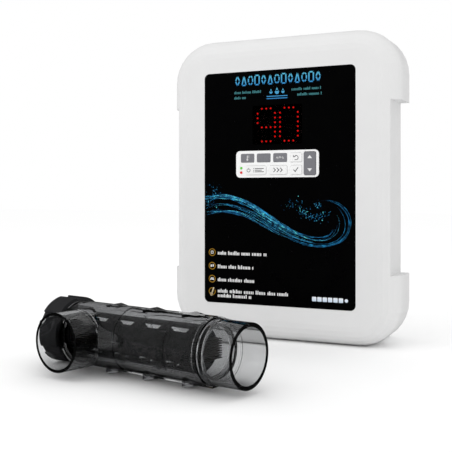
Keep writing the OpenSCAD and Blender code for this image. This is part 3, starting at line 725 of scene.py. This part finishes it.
class Printed:
    """Thin printed shapes on a front face, gathered into one piece."""

    stroke_share = 0.3
    stroke_round = 0.3
    stroke_heights = (0.72, 0.72, 0.72, 1.0)
    stroke_steps = (1.35, 1.35, 1.6)
    group_lengths = (5, 9)
    group_gap = 1.6

    def __init__(self, face_y: float, thickness: float = 0.06 * MM) -> None:
        """Starts a layer of print.

        Args:
            face_y: Where the printed face lies.
            thickness: How far the print stands proud of it.
        """
        self.shapes = Mesher()
        self.thickness = thickness
        self.middle_y = face_y - thickness / 2

    def at(self, x: float, z: float) -> Vector:
        """Returns a point in the layer, from millimetres."""
        return Vector((x * MM, self.middle_y, z * MM))

    def bar(self, x: float, z: float, width: float, height: float, radius: float = 0.0,
            lean: float = 0.0) -> None:
        """Prints a bar.

        Args:
            x: Its middle across, in millimetres.
            z: Its middle in height.
            width: Its width.
            height: Its height.
            radius: The radius of its corners.
            lean: How far it is turned clockwise, in radians.
        """
        size = (width * MM, self.thickness, height * MM)
        turn = Matrix.Rotation(lean, 4, "Y")
        if radius:
            self.shapes.plate(self.at(x, z), size, radius * MM, turn)
        else:
            self.shapes.block(self.at(x, z), size, turn)

    def line(self, start: tuple[float, float], end: tuple[float, float], width: float) -> None:
        """Prints a straight line with round ends.

        Args:
            start: Its first point as (x, z).
            end: Its last point.
            width: Its width.
        """
        run = Vector((end[0] - start[0], end[1] - start[1]))
        self.bar((start[0] + end[0]) / 2, (start[1] + end[1]) / 2, run.length + width, width,
                 width * 0.45, -math.atan2(run.y, run.x))

    def path(self, points: Sequence[tuple[float, float]], width: float) -> None:
        """Prints straight lines from point to point."""
        for start, end in zip(points, points[1:]):
            self.line(start, end, width)

    def ring(self, x: float, z: float, radius: float, line: float, start: float = 0.0,
             sweep: float = 2 * math.pi, steps: int = 32) -> None:
        """Prints a ring or an arc.

        Args:
            x: Its middle across, in millimetres.
            z: Its middle in height.
            radius: The radius of its line's middle.
            line: Its line's width.
            start: The angle where it starts, from +X towards +Z.
            sweep: How far it runs round.
            steps: The number of steps.
        """
        arc = Mesher()
        half = line / 2 * MM
        deep = self.thickness / 2
        verts = [arc.bm.verts.new((radius * MM + dx, dy, 0))
                 for dx, dy in ((-half, -deep), (half, -deep), (half, deep), (-half, deep))]
        face = arc.bm.faces.new(verts)
        full = sweep >= 2 * math.pi - 0.001
        bmesh.ops.spin(arc.bm, geom=verts + list(face.edges) + ([] if full else [face]), cent=(0, 0, 0),
                       axis=(0, -1, 0), angle=sweep, steps=steps, use_merge=full)
        if full:
            bmesh.ops.delete(arc.bm, geom=[face], context="FACES_ONLY")
            bmesh.ops.remove_doubles(arc.bm, verts=arc.bm.verts, dist=0.001 * MM)
        bmesh.ops.recalc_face_normals(arc.bm, faces=arc.bm.faces)
        place = Matrix.Translation(self.at(x, z)) @ Matrix.Rotation(-start, 4, "Y")
        bmesh.ops.transform(arc.bm, matrix=place, verts=arc.bm.verts)
        self.shapes.join(arc)

    def disc(self, x: float, z: float, radius: float, squash: float = 1.0, lean: float = 0.0,
             sides: int = 16) -> None:
        """Prints a filled disc or an oval.

        Args:
            x: Its middle across, in millimetres.
            z: Its middle in height.
            radius: Its radius across.
            squash: Its height over its width.
            lean: How far it is turned.
            sides: The number of its sides.
        """
        place = (Matrix.Translation(self.at(x, z)) @ Matrix.Rotation(lean, 4, "Y")
                 @ Matrix.Diagonal((1, 1, squash, 1)) @ Matrix.Rotation(math.pi / 2, 4, "X"))
        bmesh.ops.create_cone(self.shapes.bm, cap_ends=True, segments=sides, radius1=radius * MM,
                              radius2=radius * MM, depth=self.thickness, matrix=place)

    def triangle(self, x: float, z: float, width: float, height: float) -> None:
        """Prints a triangle that points up, or down where its height is below nought.

        Args:
            x: Its middle across, in millimetres.
            z: Its middle in height.
            width: Its width.
            height: Its height, below nought to point down.
        """
        place = (Matrix.Translation(self.at(x, z - height / 6))
                 @ Matrix.Diagonal((1, 1, math.copysign(1, height), 1))
                 @ Matrix.Diagonal((width / math.sqrt(3), 1, abs(height) / 1.5, 1))
                 @ Matrix.Rotation(math.pi / 2, 4, "X"))
        made = bmesh.ops.create_cone(self.shapes.bm, cap_ends=True, segments=3, radius1=MM, radius2=MM,
                                     depth=self.thickness, matrix=place)
        if height < 0:
            faces = dict.fromkeys(face for vert in made["verts"] for face in vert.link_faces)
            bmesh.ops.reverse_faces(self.shapes.bm, faces=list(faces))

    def wordless_line(self, left: float, right: float, z: float, height: float, seed: int) -> None:
        """Prints a row of plain strokes in groups, in place of a line of small print.

        Args:
            left: Where the row starts.
            right: Where it ends.
            z: Its middle in height.
            height: The height of its tallest strokes.
            seed: The seed of its rhythm.
        """
        rhythm = random.Random(seed)
        stroke = height * self.stroke_share
        x = left
        group = 0
        while x + stroke <= right:
            if group == 0:
                group = rhythm.randint(*self.group_lengths)
                x += 0 if x == left else stroke * self.group_gap
            tall = rhythm.choice(self.stroke_heights)
            if x + stroke <= right:
                self.bar(x + stroke / 2, z - height * (1 - tall) / 2, stroke, height * tall,
                         stroke * self.stroke_round)
            x += stroke * rhythm.choice(self.stroke_steps)
            group -= 1

    def piece(self, name: str, slot: Slot, ink: Ink, body: str = "control_box") -> bpy.types.Object:
        """Turns the layer into a piece.

        Args:
            name: The piece's name.
            slot: The slot of the part that it is printed on.
            ink: Its ink.
            body: The body that it rides on.

        Returns:
            The piece.
        """
        return self.shapes.piece(name, slot, body, finish=ink.build())


@dataclass
class WaterPicture:
    """Printed ribbon of water that runs across the overlay and curls over at its right."""

    face_y: float
    strands: int = 48
    drops: int = 260
    line: float = 0.19
    patches: tuple[float, ...] = (9 * MM, 6 * MM, 3.5 * MM)
    seed: int = 11
    blues: tuple[Colour, ...] = ((0.003, 0.045, 0.11), (0.008, 0.13, 0.28), (0.04, 0.26, 0.45))
    stations: tuple[tuple[float, float, float], ...] = (
        (-93, 158, 10.5), (-76, 161, 10.5), (-58, 160, 9.5), (-38, 154, 8.5), (-18, 144, 7.5),
        (4, 132, 6.5), (25, 123, 5.5), (44, 118, 5), (62, 119, 6), (75, 128, 8.5), (79, 142, 8.5),
        (74, 155, 6.5), (64, 162, 3.5), (52, 163, 1.5))
    clouds: tuple[tuple[float, float, float, float], ...] = (
        (-80, 176, 9, 8), (-86, 164, 6, 6), (18, 161, 13, 5), (34, 152, 7, 5), (44, 146, 9, 4),
        (58, 148, 8, 5), (50, 160, 4, 4))
    edge_left: float = -91.5
    edge_right: float = 91.0
    points_per_strand: int = 30
    wander: float = 0.14
    flatness: float = 0.06

    def place(self, t: float) -> Vector:
        """Returns the middle of the ribbon and half its width there, in millimetres.

        Args:
            t: How far along it is, from 0 at the left to 1 at the curl's tip.

        Returns:
            A vector of x, z and half the width, on a smooth curve through the stations.
        """
        run = t * (len(self.stations) - 1)
        start = min(int(run), len(self.stations) - 2)
        before, here, ahead, after = (
            Vector(self.stations[min(max(start + i, 0), len(self.stations) - 1)]) for i in (-1, 0, 1, 2))
        u = run - start
        return 0.5 * (2 * here + (ahead - before) * u + (2 * before - 5 * here + 4 * ahead - after) * u ** 2
                      + (3 * here - before - 3 * ahead + after) * u ** 3)

    def strand(self, across: float, rhythm: random.Random) -> list[Vector]:
        """Returns the points of one strand.

        Args:
            across: Where it lies across the ribbon, from -1 to 1.
            rhythm: The source of its wander.

        Returns:
            Its points as (x, z), in millimetres.
        """
        begin = rhythm.uniform(0.0, 0.5) if rhythm.random() < 0.55 else 0.0
        end = min(1.0, begin + rhythm.uniform(0.22, 0.7))
        phase = rhythm.uniform(0, 2 * math.pi)
        waves = rhythm.uniform(2, 5)
        points = []
        for i in range(self.points_per_strand):
            t = begin + (end - begin) * i / (self.points_per_strand - 1)
            ahead = self.place(min(1.0, t + 0.01)) - self.place(max(0.0, t - 0.01))
            normal = Vector((-ahead.y, ahead.x)).normalized()
            spread = across + self.wander * math.sin(phase + waves * 2 * math.pi * t)
            middle = self.place(t)
            points.append(middle.to_2d() + normal * spread * middle.z)
        return points

    def strand_curve(self, rows: list[list[Vector]], name: str, rhythm: random.Random) -> bpy.types.Mesh:
        """Returns thin flat strands as one mesh.

        Args:
            rows: The points of each strand.
            name: The mesh's name.
            rhythm: The source of their thickness.

        Returns:
            The mesh.
        """
        data = bpy.data.curves.new(name, "CURVE")
        data.dimensions = "3D"
        data.bevel_depth = self.line * MM
        data.bevel_resolution = 0
        data.use_fill_caps = True
        for row in rows:
            spline = data.splines.new("POLY")
            spline.points.add(len(row) - 1)
            thick = rhythm.uniform(0.35, 1.25)
            for i, point in enumerate(row):
                taper = math.sin(math.pi * min(1.0, (i + 0.6) / len(row)))
                spline.points[i].co = (point.x * MM, 0, point.y * MM, 1)
                spline.points[i].radius = max(0.12, thick * taper ** 0.6)
        holder = bpy.data.objects.new(name, data)
        mesh = bpy.data.meshes.new_from_object(holder)
        bpy.data.objects.remove(holder)
        return mesh

    def build(self) -> None:
        """Makes the strands in their blues and the drops."""
        rhythm = random.Random(self.seed)
        for number, blue in enumerate(self.blues):
            layer = Printed(self.face_y)
            rows = []
            for i in range(self.strands // len(self.blues)):
                edge = rhythm.choice((-1, 1)) * rhythm.uniform(0.75, 1.05)
                rows.append(self.strand(edge if rhythm.random() < 0.5 else rhythm.uniform(-0.9, 0.9), rhythm))
            mesh = self.strand_curve(rows, f"strands_{number}", rhythm)
            layer.shapes.bm.from_mesh(mesh)
            flat = Matrix.Translation((0, layer.middle_y, 0)) @ Matrix.Diagonal((1, self.flatness, 1, 1))
            bmesh.ops.transform(layer.shapes.bm, matrix=flat, verts=layer.shapes.bm.verts)
            self.scatter(layer, rhythm)
            ink = Ink(f"water_ink_{number}", blue, 0.55, shade(blue, 1.25), patch=self.patches[number])
            layer.piece(f"water_print_{number + 1}", Slot.PANEL_BLACK, ink)

    def scatter(self, layer: Printed, rhythm: random.Random) -> None:
        """Adds drops: over the ribbon's left end, over its dip and off the curl's tip.

        Args:
            layer: The layer they go into.
            rhythm: The source of their places.
        """
        for _ in range(self.drops // len(self.blues)):
            x, z, wide, high = rhythm.choice(self.clouds)
            x = min(self.edge_right, max(self.edge_left, rhythm.gauss(x, wide * 0.6)))
            layer.disc(x, rhythm.gauss(z, high * 0.6), rhythm.uniform(0.18, 0.6), rhythm.uniform(0.5, 1.0),
                       rhythm.uniform(0, math.pi), 8)


class Outline(Enum):
    """The plain shapes of the title's band, as corners that reach from -1 to 1."""

    TRIANGLE = ((-1, -1), (0, 1), (1, -1))
    SQUARE = ((-1, -1), (-1, 1), (1, 1), (1, -1))
    DIAMOND = ((0, -1), (-1, 0), (0, 1), (1, 0))
    HEXAGON = ((-1, -0.5), (-1, 0.5), (0, 1), (1, 0.5), (1, -0.5), (0, -1))


@dataclass
class OverlayPrint:
    """Everything printed on the front overlay besides the water."""

    face_y: float
    title_z: float = 307.3
    title_h: float = 12.4
    title_half_w: float = 54.5
    title_line: float = 1.5
    title_fill: float = 0.82
    title_shapes: tuple[Outline, ...] = (Outline.DIAMOND, Outline.TRIANGLE, Outline.HEXAGON, Outline.SQUARE)
    title_tiles: int = 13
    small_rows: tuple[tuple[float, float, float], ...] = (
        (-54.5, -20, 293.6), (-54.5, -39, 287.3), (18, 54.5, 294.2), (25, 54.5, 287.9))
    small_h: float = 3.3
    small_seed: int = 3
    icon_x: float = -84.0
    icon_z: tuple[float, ...] = (102.4, 86.0, 70.3, 55.2)
    icon_r: float = 4.1
    icon_line: float = 0.8
    row_left: float = -76.5
    row_h: float = 4.6
    rows: tuple[tuple[float, float, int], ...] = (
        (-13, 102.0, 20), (-29, 85.6, 21), (-25, 69.9, 22), (14, 56.4, 23), (-32, 50.8, 30))
    badge_z: float = 292.0
    badge_bars_z: tuple[float, float] = (287.2, 284.6)
    badge_bar_w: float = 26
    badge_bar_h: float = 1.0
    badge_drops: tuple[tuple[float, float], ...] = ((-7.5, 1.9), (0, 2.6), (7.5, 1.9))
    corner_tiles: int = 6
    corner_x: float = 45.6
    corner_z: float = 52.8
    corner_pitch: float = 6.3
    corner_tile: float = 5.2
    corner_round: float = 0.8
    corner_dot_x: float = 83.5
    corner_dot_r: float = 2.0

    def build(self) -> None:
        """Makes each layer of print."""
        self.make_title()
        self.make_small_print()
        self.make_badge()
        self.make_icons()
        self.make_rows()
        self.make_corner()

    def make_title(self) -> None:
        """Makes an even band of plain hollow shapes at the top."""
        layer = Printed(self.face_y)
        pitch = 2 * self.title_half_w / self.title_tiles
        for i in range(self.title_tiles):
            x = -self.title_half_w + pitch * (i + 0.5)
            self.make_shape(layer, x, pitch * self.title_fill, self.title_shapes[i % len(self.title_shapes)])
        ink = Ink("title_ink", (0.03, 0.24, 0.56), 0.5, (0.10, 0.47, 0.66), 0.301, 0.3135)
        layer.piece("title_print", Slot.PANEL_BLACK, ink)

    def make_shape(self, layer: Printed, x: float, width: float, outline: Outline) -> None:
        """Makes one hollow shape.

        Args:
            layer: The layer it goes into.
            x: Its middle across.
            width: Its width.
            outline: Its outline.
        """
        w = (width - self.title_line) / 2
        h = (self.title_h - self.title_line) / 2
        points = [(x + w * across, self.title_z + h * up) for across, up in outline.value]
        layer.path(points + points[:1], self.title_line)

    def make_small_print(self) -> None:
        """Makes the rows of strokes under the band of shapes."""
        layer = Printed(self.face_y)
        for i, (left, right, z) in enumerate(self.small_rows):
            layer.wordless_line(left, right, z, self.small_h, self.small_seed + i)
        layer.piece("small_print", Slot.PANEL_BLACK, Ink("small_ink", (0.05, 0.20, 0.22), 0.5))

    def make_badge(self) -> None:
        """Makes a plain badge: three drops side by side over two level bars."""
        layer = Printed(self.face_y)
        for x, size in self.badge_drops:
            layer.disc(x, self.badge_z, size)
            layer.triangle(x, self.badge_z + size * 1.25, size * 1.5, size * 1.7)
        for z in self.badge_bars_z:
            layer.bar(0, z, self.badge_bar_w, self.badge_bar_h, self.badge_bar_h * 0.45)
        ink = Ink("badge_ink", (0.03, 0.22, 0.52), 0.5, (0.09, 0.42, 0.62), 0.284, 0.297)
        layer.piece("badge_print", Slot.PANEL_BLACK, ink)

    def make_icons(self) -> None:
        """Makes four rings with plain signs: a square, a dot pair, a grain heap and a thermometer."""
        rings = Printed(self.face_y)
        signs = Printed(self.face_y)
        x = self.icon_x
        square, dots, grains, gauge = self.icon_z
        for z in (square, dots, grains):
            rings.ring(x, z, self.icon_r, self.icon_line)
        rings.ring(x, gauge, self.icon_r, self.icon_line, math.radians(75), math.radians(310))
        for side in (-1, 1):
            signs.bar(x + side * 1.35, square, 0.8, 3.4)
            signs.bar(x, square + side * 1.35, 3.4, 0.8)
        signs.bar(x - 1.3, dots, 1.5, 2.9, 0.5)
        signs.bar(x + 1.3, dots + 0.4, 1.5, 2.9, 0.5)
        for dx, dz in ((-1.9, -0.6), (0, -0.6), (1.9, -0.6), (-0.95, 0.9), (0.95, 0.9)):
            signs.disc(x + dx, grains + dz, 0.85, sides=6)
        signs.line((x - 0.5, gauge - 2.6), (x + 2.0, gauge + 4.2), 1.5)
        signs.disc(x - 0.9, gauge - 3.4, 2.0)
        rings.piece("icon_rings_print", Slot.PANEL_BLACK, Ink("gold_ink", (0.37, 0.20, 0.018), 0.45))
        cream = Ink("cream_ink", (0.66, 0.55, 0.34), 0.45, (0.86, 0.86, 0.86), 0.0585, 0.0615)
        signs.piece("icon_signs_print", Slot.PANEL_BLACK, cream)

    def make_rows(self) -> None:
        """Makes the rows of strokes beside the rings."""
        layer = Printed(self.face_y)
        for right, z, seed in self.rows:
            layer.wordless_line(self.row_left, right, z, self.row_h, seed)
        layer.piece("row_print", Slot.PANEL_BLACK, Ink("white_ink", (0.78, 0.78, 0.78), 0.5))

    def make_corner(self) -> None:
        """Makes a row of plain tiles and a dot at the lower right."""
        layer = Printed(self.face_y)
        for i in range(self.corner_tiles):
            layer.bar(self.corner_x + i * self.corner_pitch, self.corner_z, self.corner_tile,
                      self.corner_tile, self.corner_round)
        layer.disc(self.corner_dot_x, self.corner_z, self.corner_dot_r)
        ink = Ink("pale_ink", (0.55, 0.66, 0.80), 0.5, (0.85, 0.88, 0.92), 0.050, 0.0555)
        layer.piece("corner_print", Slot.PANEL_BLACK, ink)


@dataclass
class Keypad:
    """The keypad's lenses, keys and rocker, with rounded edges and their signs."""

    key_edge: float = 0.3 * MM
    lens_edge: float = 0.15 * MM
    rocker_sign_up: float = 7.6
    rocker_sign_w: float = 5.6
    rocker_sign_h: float = 3.6

    def build(self) -> None:
        """Rounds the pieces' edges and makes the signs."""
        self.soften_nodes()
        self.make_lens_signs()
        self.make_key_signs()
        self.make_rocker_signs()

    def soften_nodes(self) -> None:
        """Gives the rocker, the keys and the lenses rounded edges."""
        for name in ("level_rocker", "menu_key", "boost_key", "back_key", "confirm_key"):
            round_edges(name, self.key_edge)
        for name in ("temp_lens", "spare_lens", "salt_lens"):
            round_edges(name, self.lens_edge)

    def make_lens_signs(self) -> None:
        """Makes a thermometer on the first lens and crystals on the third."""
        temp, salt = Span.of("temp_lens"), Span.of("salt_lens")
        layer = Printed(temp.low.y)
        x, z = temp.centre.x / MM, temp.centre.z / MM
        layer.line((x - 0.2, z - 0.6), (x - 0.2, z + 2.6), 1.1)
        layer.disc(x - 0.2, z - 1.8, 1.2)
        for dz in (0.6, 1.7, 2.8):
            layer.bar(x + 1.6, z + dz, 1.3, 0.45)
        x, z = salt.centre.x / MM, salt.centre.z / MM
        for dx, dz, turn in ((-3.4, 0, 0.4), (0, 0.5, 0.1), (3.4, -0.1, 0.8)):
            for side in (-1, 1):
                layer.bar(x + dx, z + dz, 2.9, 0.55, 0.2, turn + side * math.pi / 4)
            layer.bar(x + dx, z + dz, 2.9, 0.55, 0.2, turn)
        layer.piece("lens_sign_print", Slot.LENS_GREY, Ink("lens_ink", (0.7, 0.7, 0.7), 0.5))

    def make_key_signs(self) -> None:
        """Makes a sign on each key: a list, chevrons, a curved arrow and a tick."""
        for name, draw in (("menu_key", self.draw_menu), ("boost_key", self.draw_boost),
                           ("back_key", self.draw_back), ("confirm_key", self.draw_confirm)):
            span = Span.of(name)
            layer = Printed(span.low.y)
            draw(layer, span.centre.x / MM, span.centre.z / MM)
            layer.piece(name + "_sign", Slot.KEY_WHITE, Ink(name + "_ink", (0.06, 0.06, 0.065), 0.5), name)

    def draw_menu(self, layer: Printed, x: float, z: float) -> None:
        """Draws a switch ring and a short list.

        Args:
            layer: The layer it goes into.
            x: The key's middle across, in millimetres.
            z: The key's middle in height.
        """
        layer.ring(x - 9.2, z, 2.0, 0.6, math.radians(115), math.radians(310), 20)
        layer.line((x - 9.2, z + 0.9), (x - 9.2, z + 2.6), 0.6)
        for dz, length in ((1.9, 11.5), (0, 9.0), (-1.9, 11.5)):
            layer.bar(x - 2.6, z + dz, 0.9, 0.9, 0.2)
            layer.bar(x - 1.2 + length / 2, z + dz, length, 0.8, 0.3)

    def draw_boost(self, layer: Printed, x: float, z: float) -> None:
        """Draws three chevrons."""
        for dx in (-4.2, 0, 4.2):
            layer.path([(x + dx - 1.2, z + 2.2), (x + dx + 1.2, z), (x + dx - 1.2, z - 2.2)], 0.9)

    def draw_back(self, layer: Printed, x: float, z: float) -> None:
        """Draws an arrow that turns back."""
        layer.ring(x + 0.3, z - 0.4, 2.5, 0.75, math.radians(-130), math.radians(250), 20)
        layer.path([(x - 3.1, z + 2.4), (x - 2.5, z + 0.4), (x - 0.6, z + 1.0)], 0.75)

    def draw_confirm(self, layer: Printed, x: float, z: float) -> None:
        """Draws a tick."""
        layer.path([(x - 2.5, z - 0.2), (x - 0.7, z - 2.1), (x + 2.7, z + 2.6)], 0.9)

    def make_rocker_signs(self) -> None:
        """Makes the rocker's two triangles."""
        span = Span.of("level_rocker")
        keypad = Span.of("keypad_frame")
        layer = Printed(span.low.y)
        x = span.centre.x / MM
        middle = keypad.centre.z / MM
        for side in (1, -1):
            z = middle + side * self.rocker_sign_up
            layer.triangle(x, z, self.rocker_sign_w, side * self.rocker_sign_h)
        ink = Ink("rocker_ink", (0.82, 0.82, 0.82), 0.5)
        layer.piece("rocker_sign", Slot.ROCKER_GREY, ink, "level_rocker")


@dataclass
class DisplayMask:
    """Black mask round the two digits, behind the display's window."""

    thickness: float = 0.5 * MM
    clear: float = 0.1 * MM

    def build(self) -> None:
        """Makes the mask's four bars as one piece."""
        window, tens, units = (Span.of(name) for name in ("display_window", "tens_display", "units_display"))
        left, right = min(tens.low.x, units.low.x) - self.clear, max(tens.high.x, units.high.x) + self.clear
        low, high = tens.low.z - self.clear, tens.high.z + self.clear
        shapes = Mesher()
        for start, end in (((window.low.x, low), (left, high)), ((right, low), (window.high.x, high)),
                           ((window.low.x, high), (window.high.x, window.high.z)),
                           ((window.low.x, window.low.z), (window.high.x, low))):
            middle = Vector(((start[0] + end[0]) / 2, tens.low.y + self.thickness / 2,
                             (start[1] + end[1]) / 2))
            shapes.block(middle, (end[0] - start[0], self.thickness, end[1] - start[1]))
        shapes.piece("display_mask", Slot.DIGIT_BLACK, "control_box")


@dataclass
class RoundedEdges:
    """The edge radii of the moulded and turned CAD pieces outside the keypad."""

    radii: dict[str, float] = field(default_factory=lambda: {
        "front_cover": 0.8, "base_walls": 1.2, "base_back": 1.0, "gland_shelf": 0.4,
        "union_nut": 1.1, "terminal_cover": 0.9, "cell_head": 0.4, "stud_nuts": 0.3, "fuse_cap": 0.5,
        "mains_gland_nut": 0.4, "cell_gland_nut": 0.4, "sensor_gland_nut": 0.4, "mains_gland": 0.4,
        "cell_gland": 0.4, "sensor_gland": 0.4, "cover_screws": 0.4, "capacitors": 0.8, "terminal_block": 0.4,
        "front_overlay": 0.12, "cage_upper": 0.3, "cage_lower": 0.3,
    })

    def build(self) -> None:
        """Rounds the edges of each listed node."""
        for name, radius in self.radii.items():
            round_edges(name, radius * MM)
            LOG.info("rounded the edges of %s", name)


def round_edges(name: str, width: float, segments: int = 2) -> None:
    """Gives a CAD node rounded edges by a modifier.

    Args:
        name: The node's name.
        width: The radius.
        segments: The number of steps in each rounding.
    """
    node = frame["nodes"][name]
    weld = node.modifiers.new("weld", "WELD")
    weld.merge_threshold = WELD_REACH
    bevel = node.modifiers.new("round_edges", "BEVEL")
    bevel.width = width
    bevel.segments = segments
    bevel.limit_method = "ANGLE"
    bevel.angle_limit = EDGE_ANGLE
    bevel.use_clamp_overlap = True


class CadDressing:
    """Gives every CAD node the finish of its slot in the record."""

    def build(self) -> None:
        """Dresses the nodes one by one."""
        slots = {slot.title: slot for slot in Slot}
        for part in frame["record"]["subparts"]:
            node = frame["nodes"][part["node"]]
            slot = slots[part["material_slot"]]
            node.data.materials.clear()
            node.data.materials.append(slot.material)
            LOG.info("dressed %s in %s", part["node"], slot.title)


# ---- Studio ------------------------------------------------------------------


def mirrored_only(tree: bpy.types.NodeTree) -> bpy.types.NodeSocket:
    """Returns 1 where a surface mirrors what is lit, and 0 where it is seen directly or through glass.

    Args:
        tree: The node tree that the nodes go into.

    Returns:
        The result's socket.
    """
    rays = tree.nodes.new("ShaderNodeLightPath")
    through = tree.nodes.new("ShaderNodeMath")
    through.operation = "SUBTRACT"
    through.inputs[0].default_value = 1
    tree.links.new(rays.outputs["Is Transmission Ray"], through.inputs[1])
    mirrored = tree.nodes.new("ShaderNodeMath")
    mirrored.operation = "MULTIPLY"
    tree.links.new(rays.outputs["Is Glossy Ray"], mirrored.inputs[0])
    tree.links.new(through.outputs["Value"], mirrored.inputs[1])
    return mirrored.outputs["Value"]


@dataclass
class Studio:
    """White sweep, soft lights and the camera, all outside the object."""

    camera_place: Vector = field(default_factory=lambda: Vector((340.4, -910.4, 174.0)) * MM)
    camera_azimuth: float = math.radians(25)
    lens_mm: float = 63.7
    shift_up: float = -0.073
    floor_reach: float = 6.0
    floor_drop: float = 0.5 * MM
    clip_start: float = 10 * MM
    floor_colour: Colour = (0.99, 0.99, 0.99)
    floor_mirrored: Colour = (0.05, 0.05, 0.05)
    world_strength: float = 1.0
    world_mirrored: float = 0.08
    lights: tuple[tuple[str, tuple[float, float, float], float, float], ...] = (
        ("key", (-0.9, -1.5, 1.6), 1.2, 4), ("top", (0.1, -0.2, 1.9), 1.2, 2))
    light_aim: tuple[float, float, float] = (0, -0.1, 0.15)

    def build(self) -> None:
        """Makes the camera, the sweep, the lights and the world."""
        self.make_camera()
        self.make_sweep()
        self.make_lights()
        self.make_world()
        bpy.context.scene.view_settings.view_transform = "Standard"

    def make_camera(self) -> None:
        """Makes the level camera at the object's front right."""
        data = bpy.data.cameras.new("camera")
        data.lens = self.lens_mm
        data.shift_y = self.shift_up
        data.clip_start = self.clip_start
        camera = bpy.data.objects.new("camera", data)
        camera.location = self.camera_place
        camera.rotation_euler = (math.pi / 2, 0, self.camera_azimuth)
        bpy.context.collection.objects.link(camera)
        bpy.context.scene.camera = camera

    def make_sweep(self) -> None:
        """Makes the pale floor that the object stands on."""
        bm = bmesh.new()
        bmesh.ops.create_grid(bm, x_segments=1, y_segments=1, size=self.floor_reach)
        mesh = bpy.data.meshes.new("floor")
        bm.to_mesh(mesh)
        bm.free()
        floor = bpy.data.objects.new("floor", mesh)
        floor.location.z = -self.floor_drop
        bpy.context.collection.objects.link(floor)
        s = Shader("floor_paper", self.floor_colour, 0.9).set(Specular_IOR_Level=0.0)
        tree = s.material.node_tree
        s.colour(s.ramp(mirrored_only(tree), [(0.0, self.floor_colour), (1.0, self.floor_mirrored)]))
        mesh.materials.append(s.material)

    def make_light(self, name: str, place: Sequence[float], size: float, power: float) -> None:
        """Makes one soft square light.

        Args:
            name: The light's name.
            place: Where it hangs, in metres.
            size: Its side in metres.
            power: Its power in watts.
        """
        data = bpy.data.lights.new(name, "AREA")
        data.shape = "SQUARE"
        data.size = size
        data.energy = power
        light = bpy.data.objects.new(name, data)
        light.location = place
        light.rotation_euler = (Vector(self.light_aim) - Vector(place)).to_track_quat("-Z", "Y").to_euler()
        bpy.context.collection.objects.link(light)

    def make_lights(self) -> None:
        """Makes the key light and the one from above."""
        for name, place, size, power in self.lights:
            self.make_light(name, place, size, power)

    def make_world(self) -> None:
        """Makes the even white surroundings."""
        world = bpy.data.worlds.new("surroundings")
        world.use_nodes = True
        nodes, links = world.node_tree.nodes, world.node_tree.links
        background = nodes["Background"]
        background.inputs["Color"].default_value = (1, 1, 1, 1)
        strength = nodes.new("ShaderNodeMapRange")
        strength.inputs["To Min"].default_value = self.world_strength
        strength.inputs["To Max"].default_value = self.world_mirrored
        links.new(mirrored_only(world.node_tree), strength.inputs["Value"])
        links.new(strength.outputs["Result"], background.inputs["Strength"])
        bpy.context.scene.world = world


def main() -> None:
    """Builds the sub-assemblies in order."""
    logging.basicConfig(level=logging.INFO, format="%(message)s")
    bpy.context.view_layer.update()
    Studio().build()
    CadDressing().build()
    panel_y = Span.of("front_overlay").low.y
    OverlayPrint(panel_y).build()
    WaterPicture(panel_y).build()
    Keypad().build()
    DisplayMask().build()
    RoundedEdges().build()


if __name__ == "__main__":
    main()
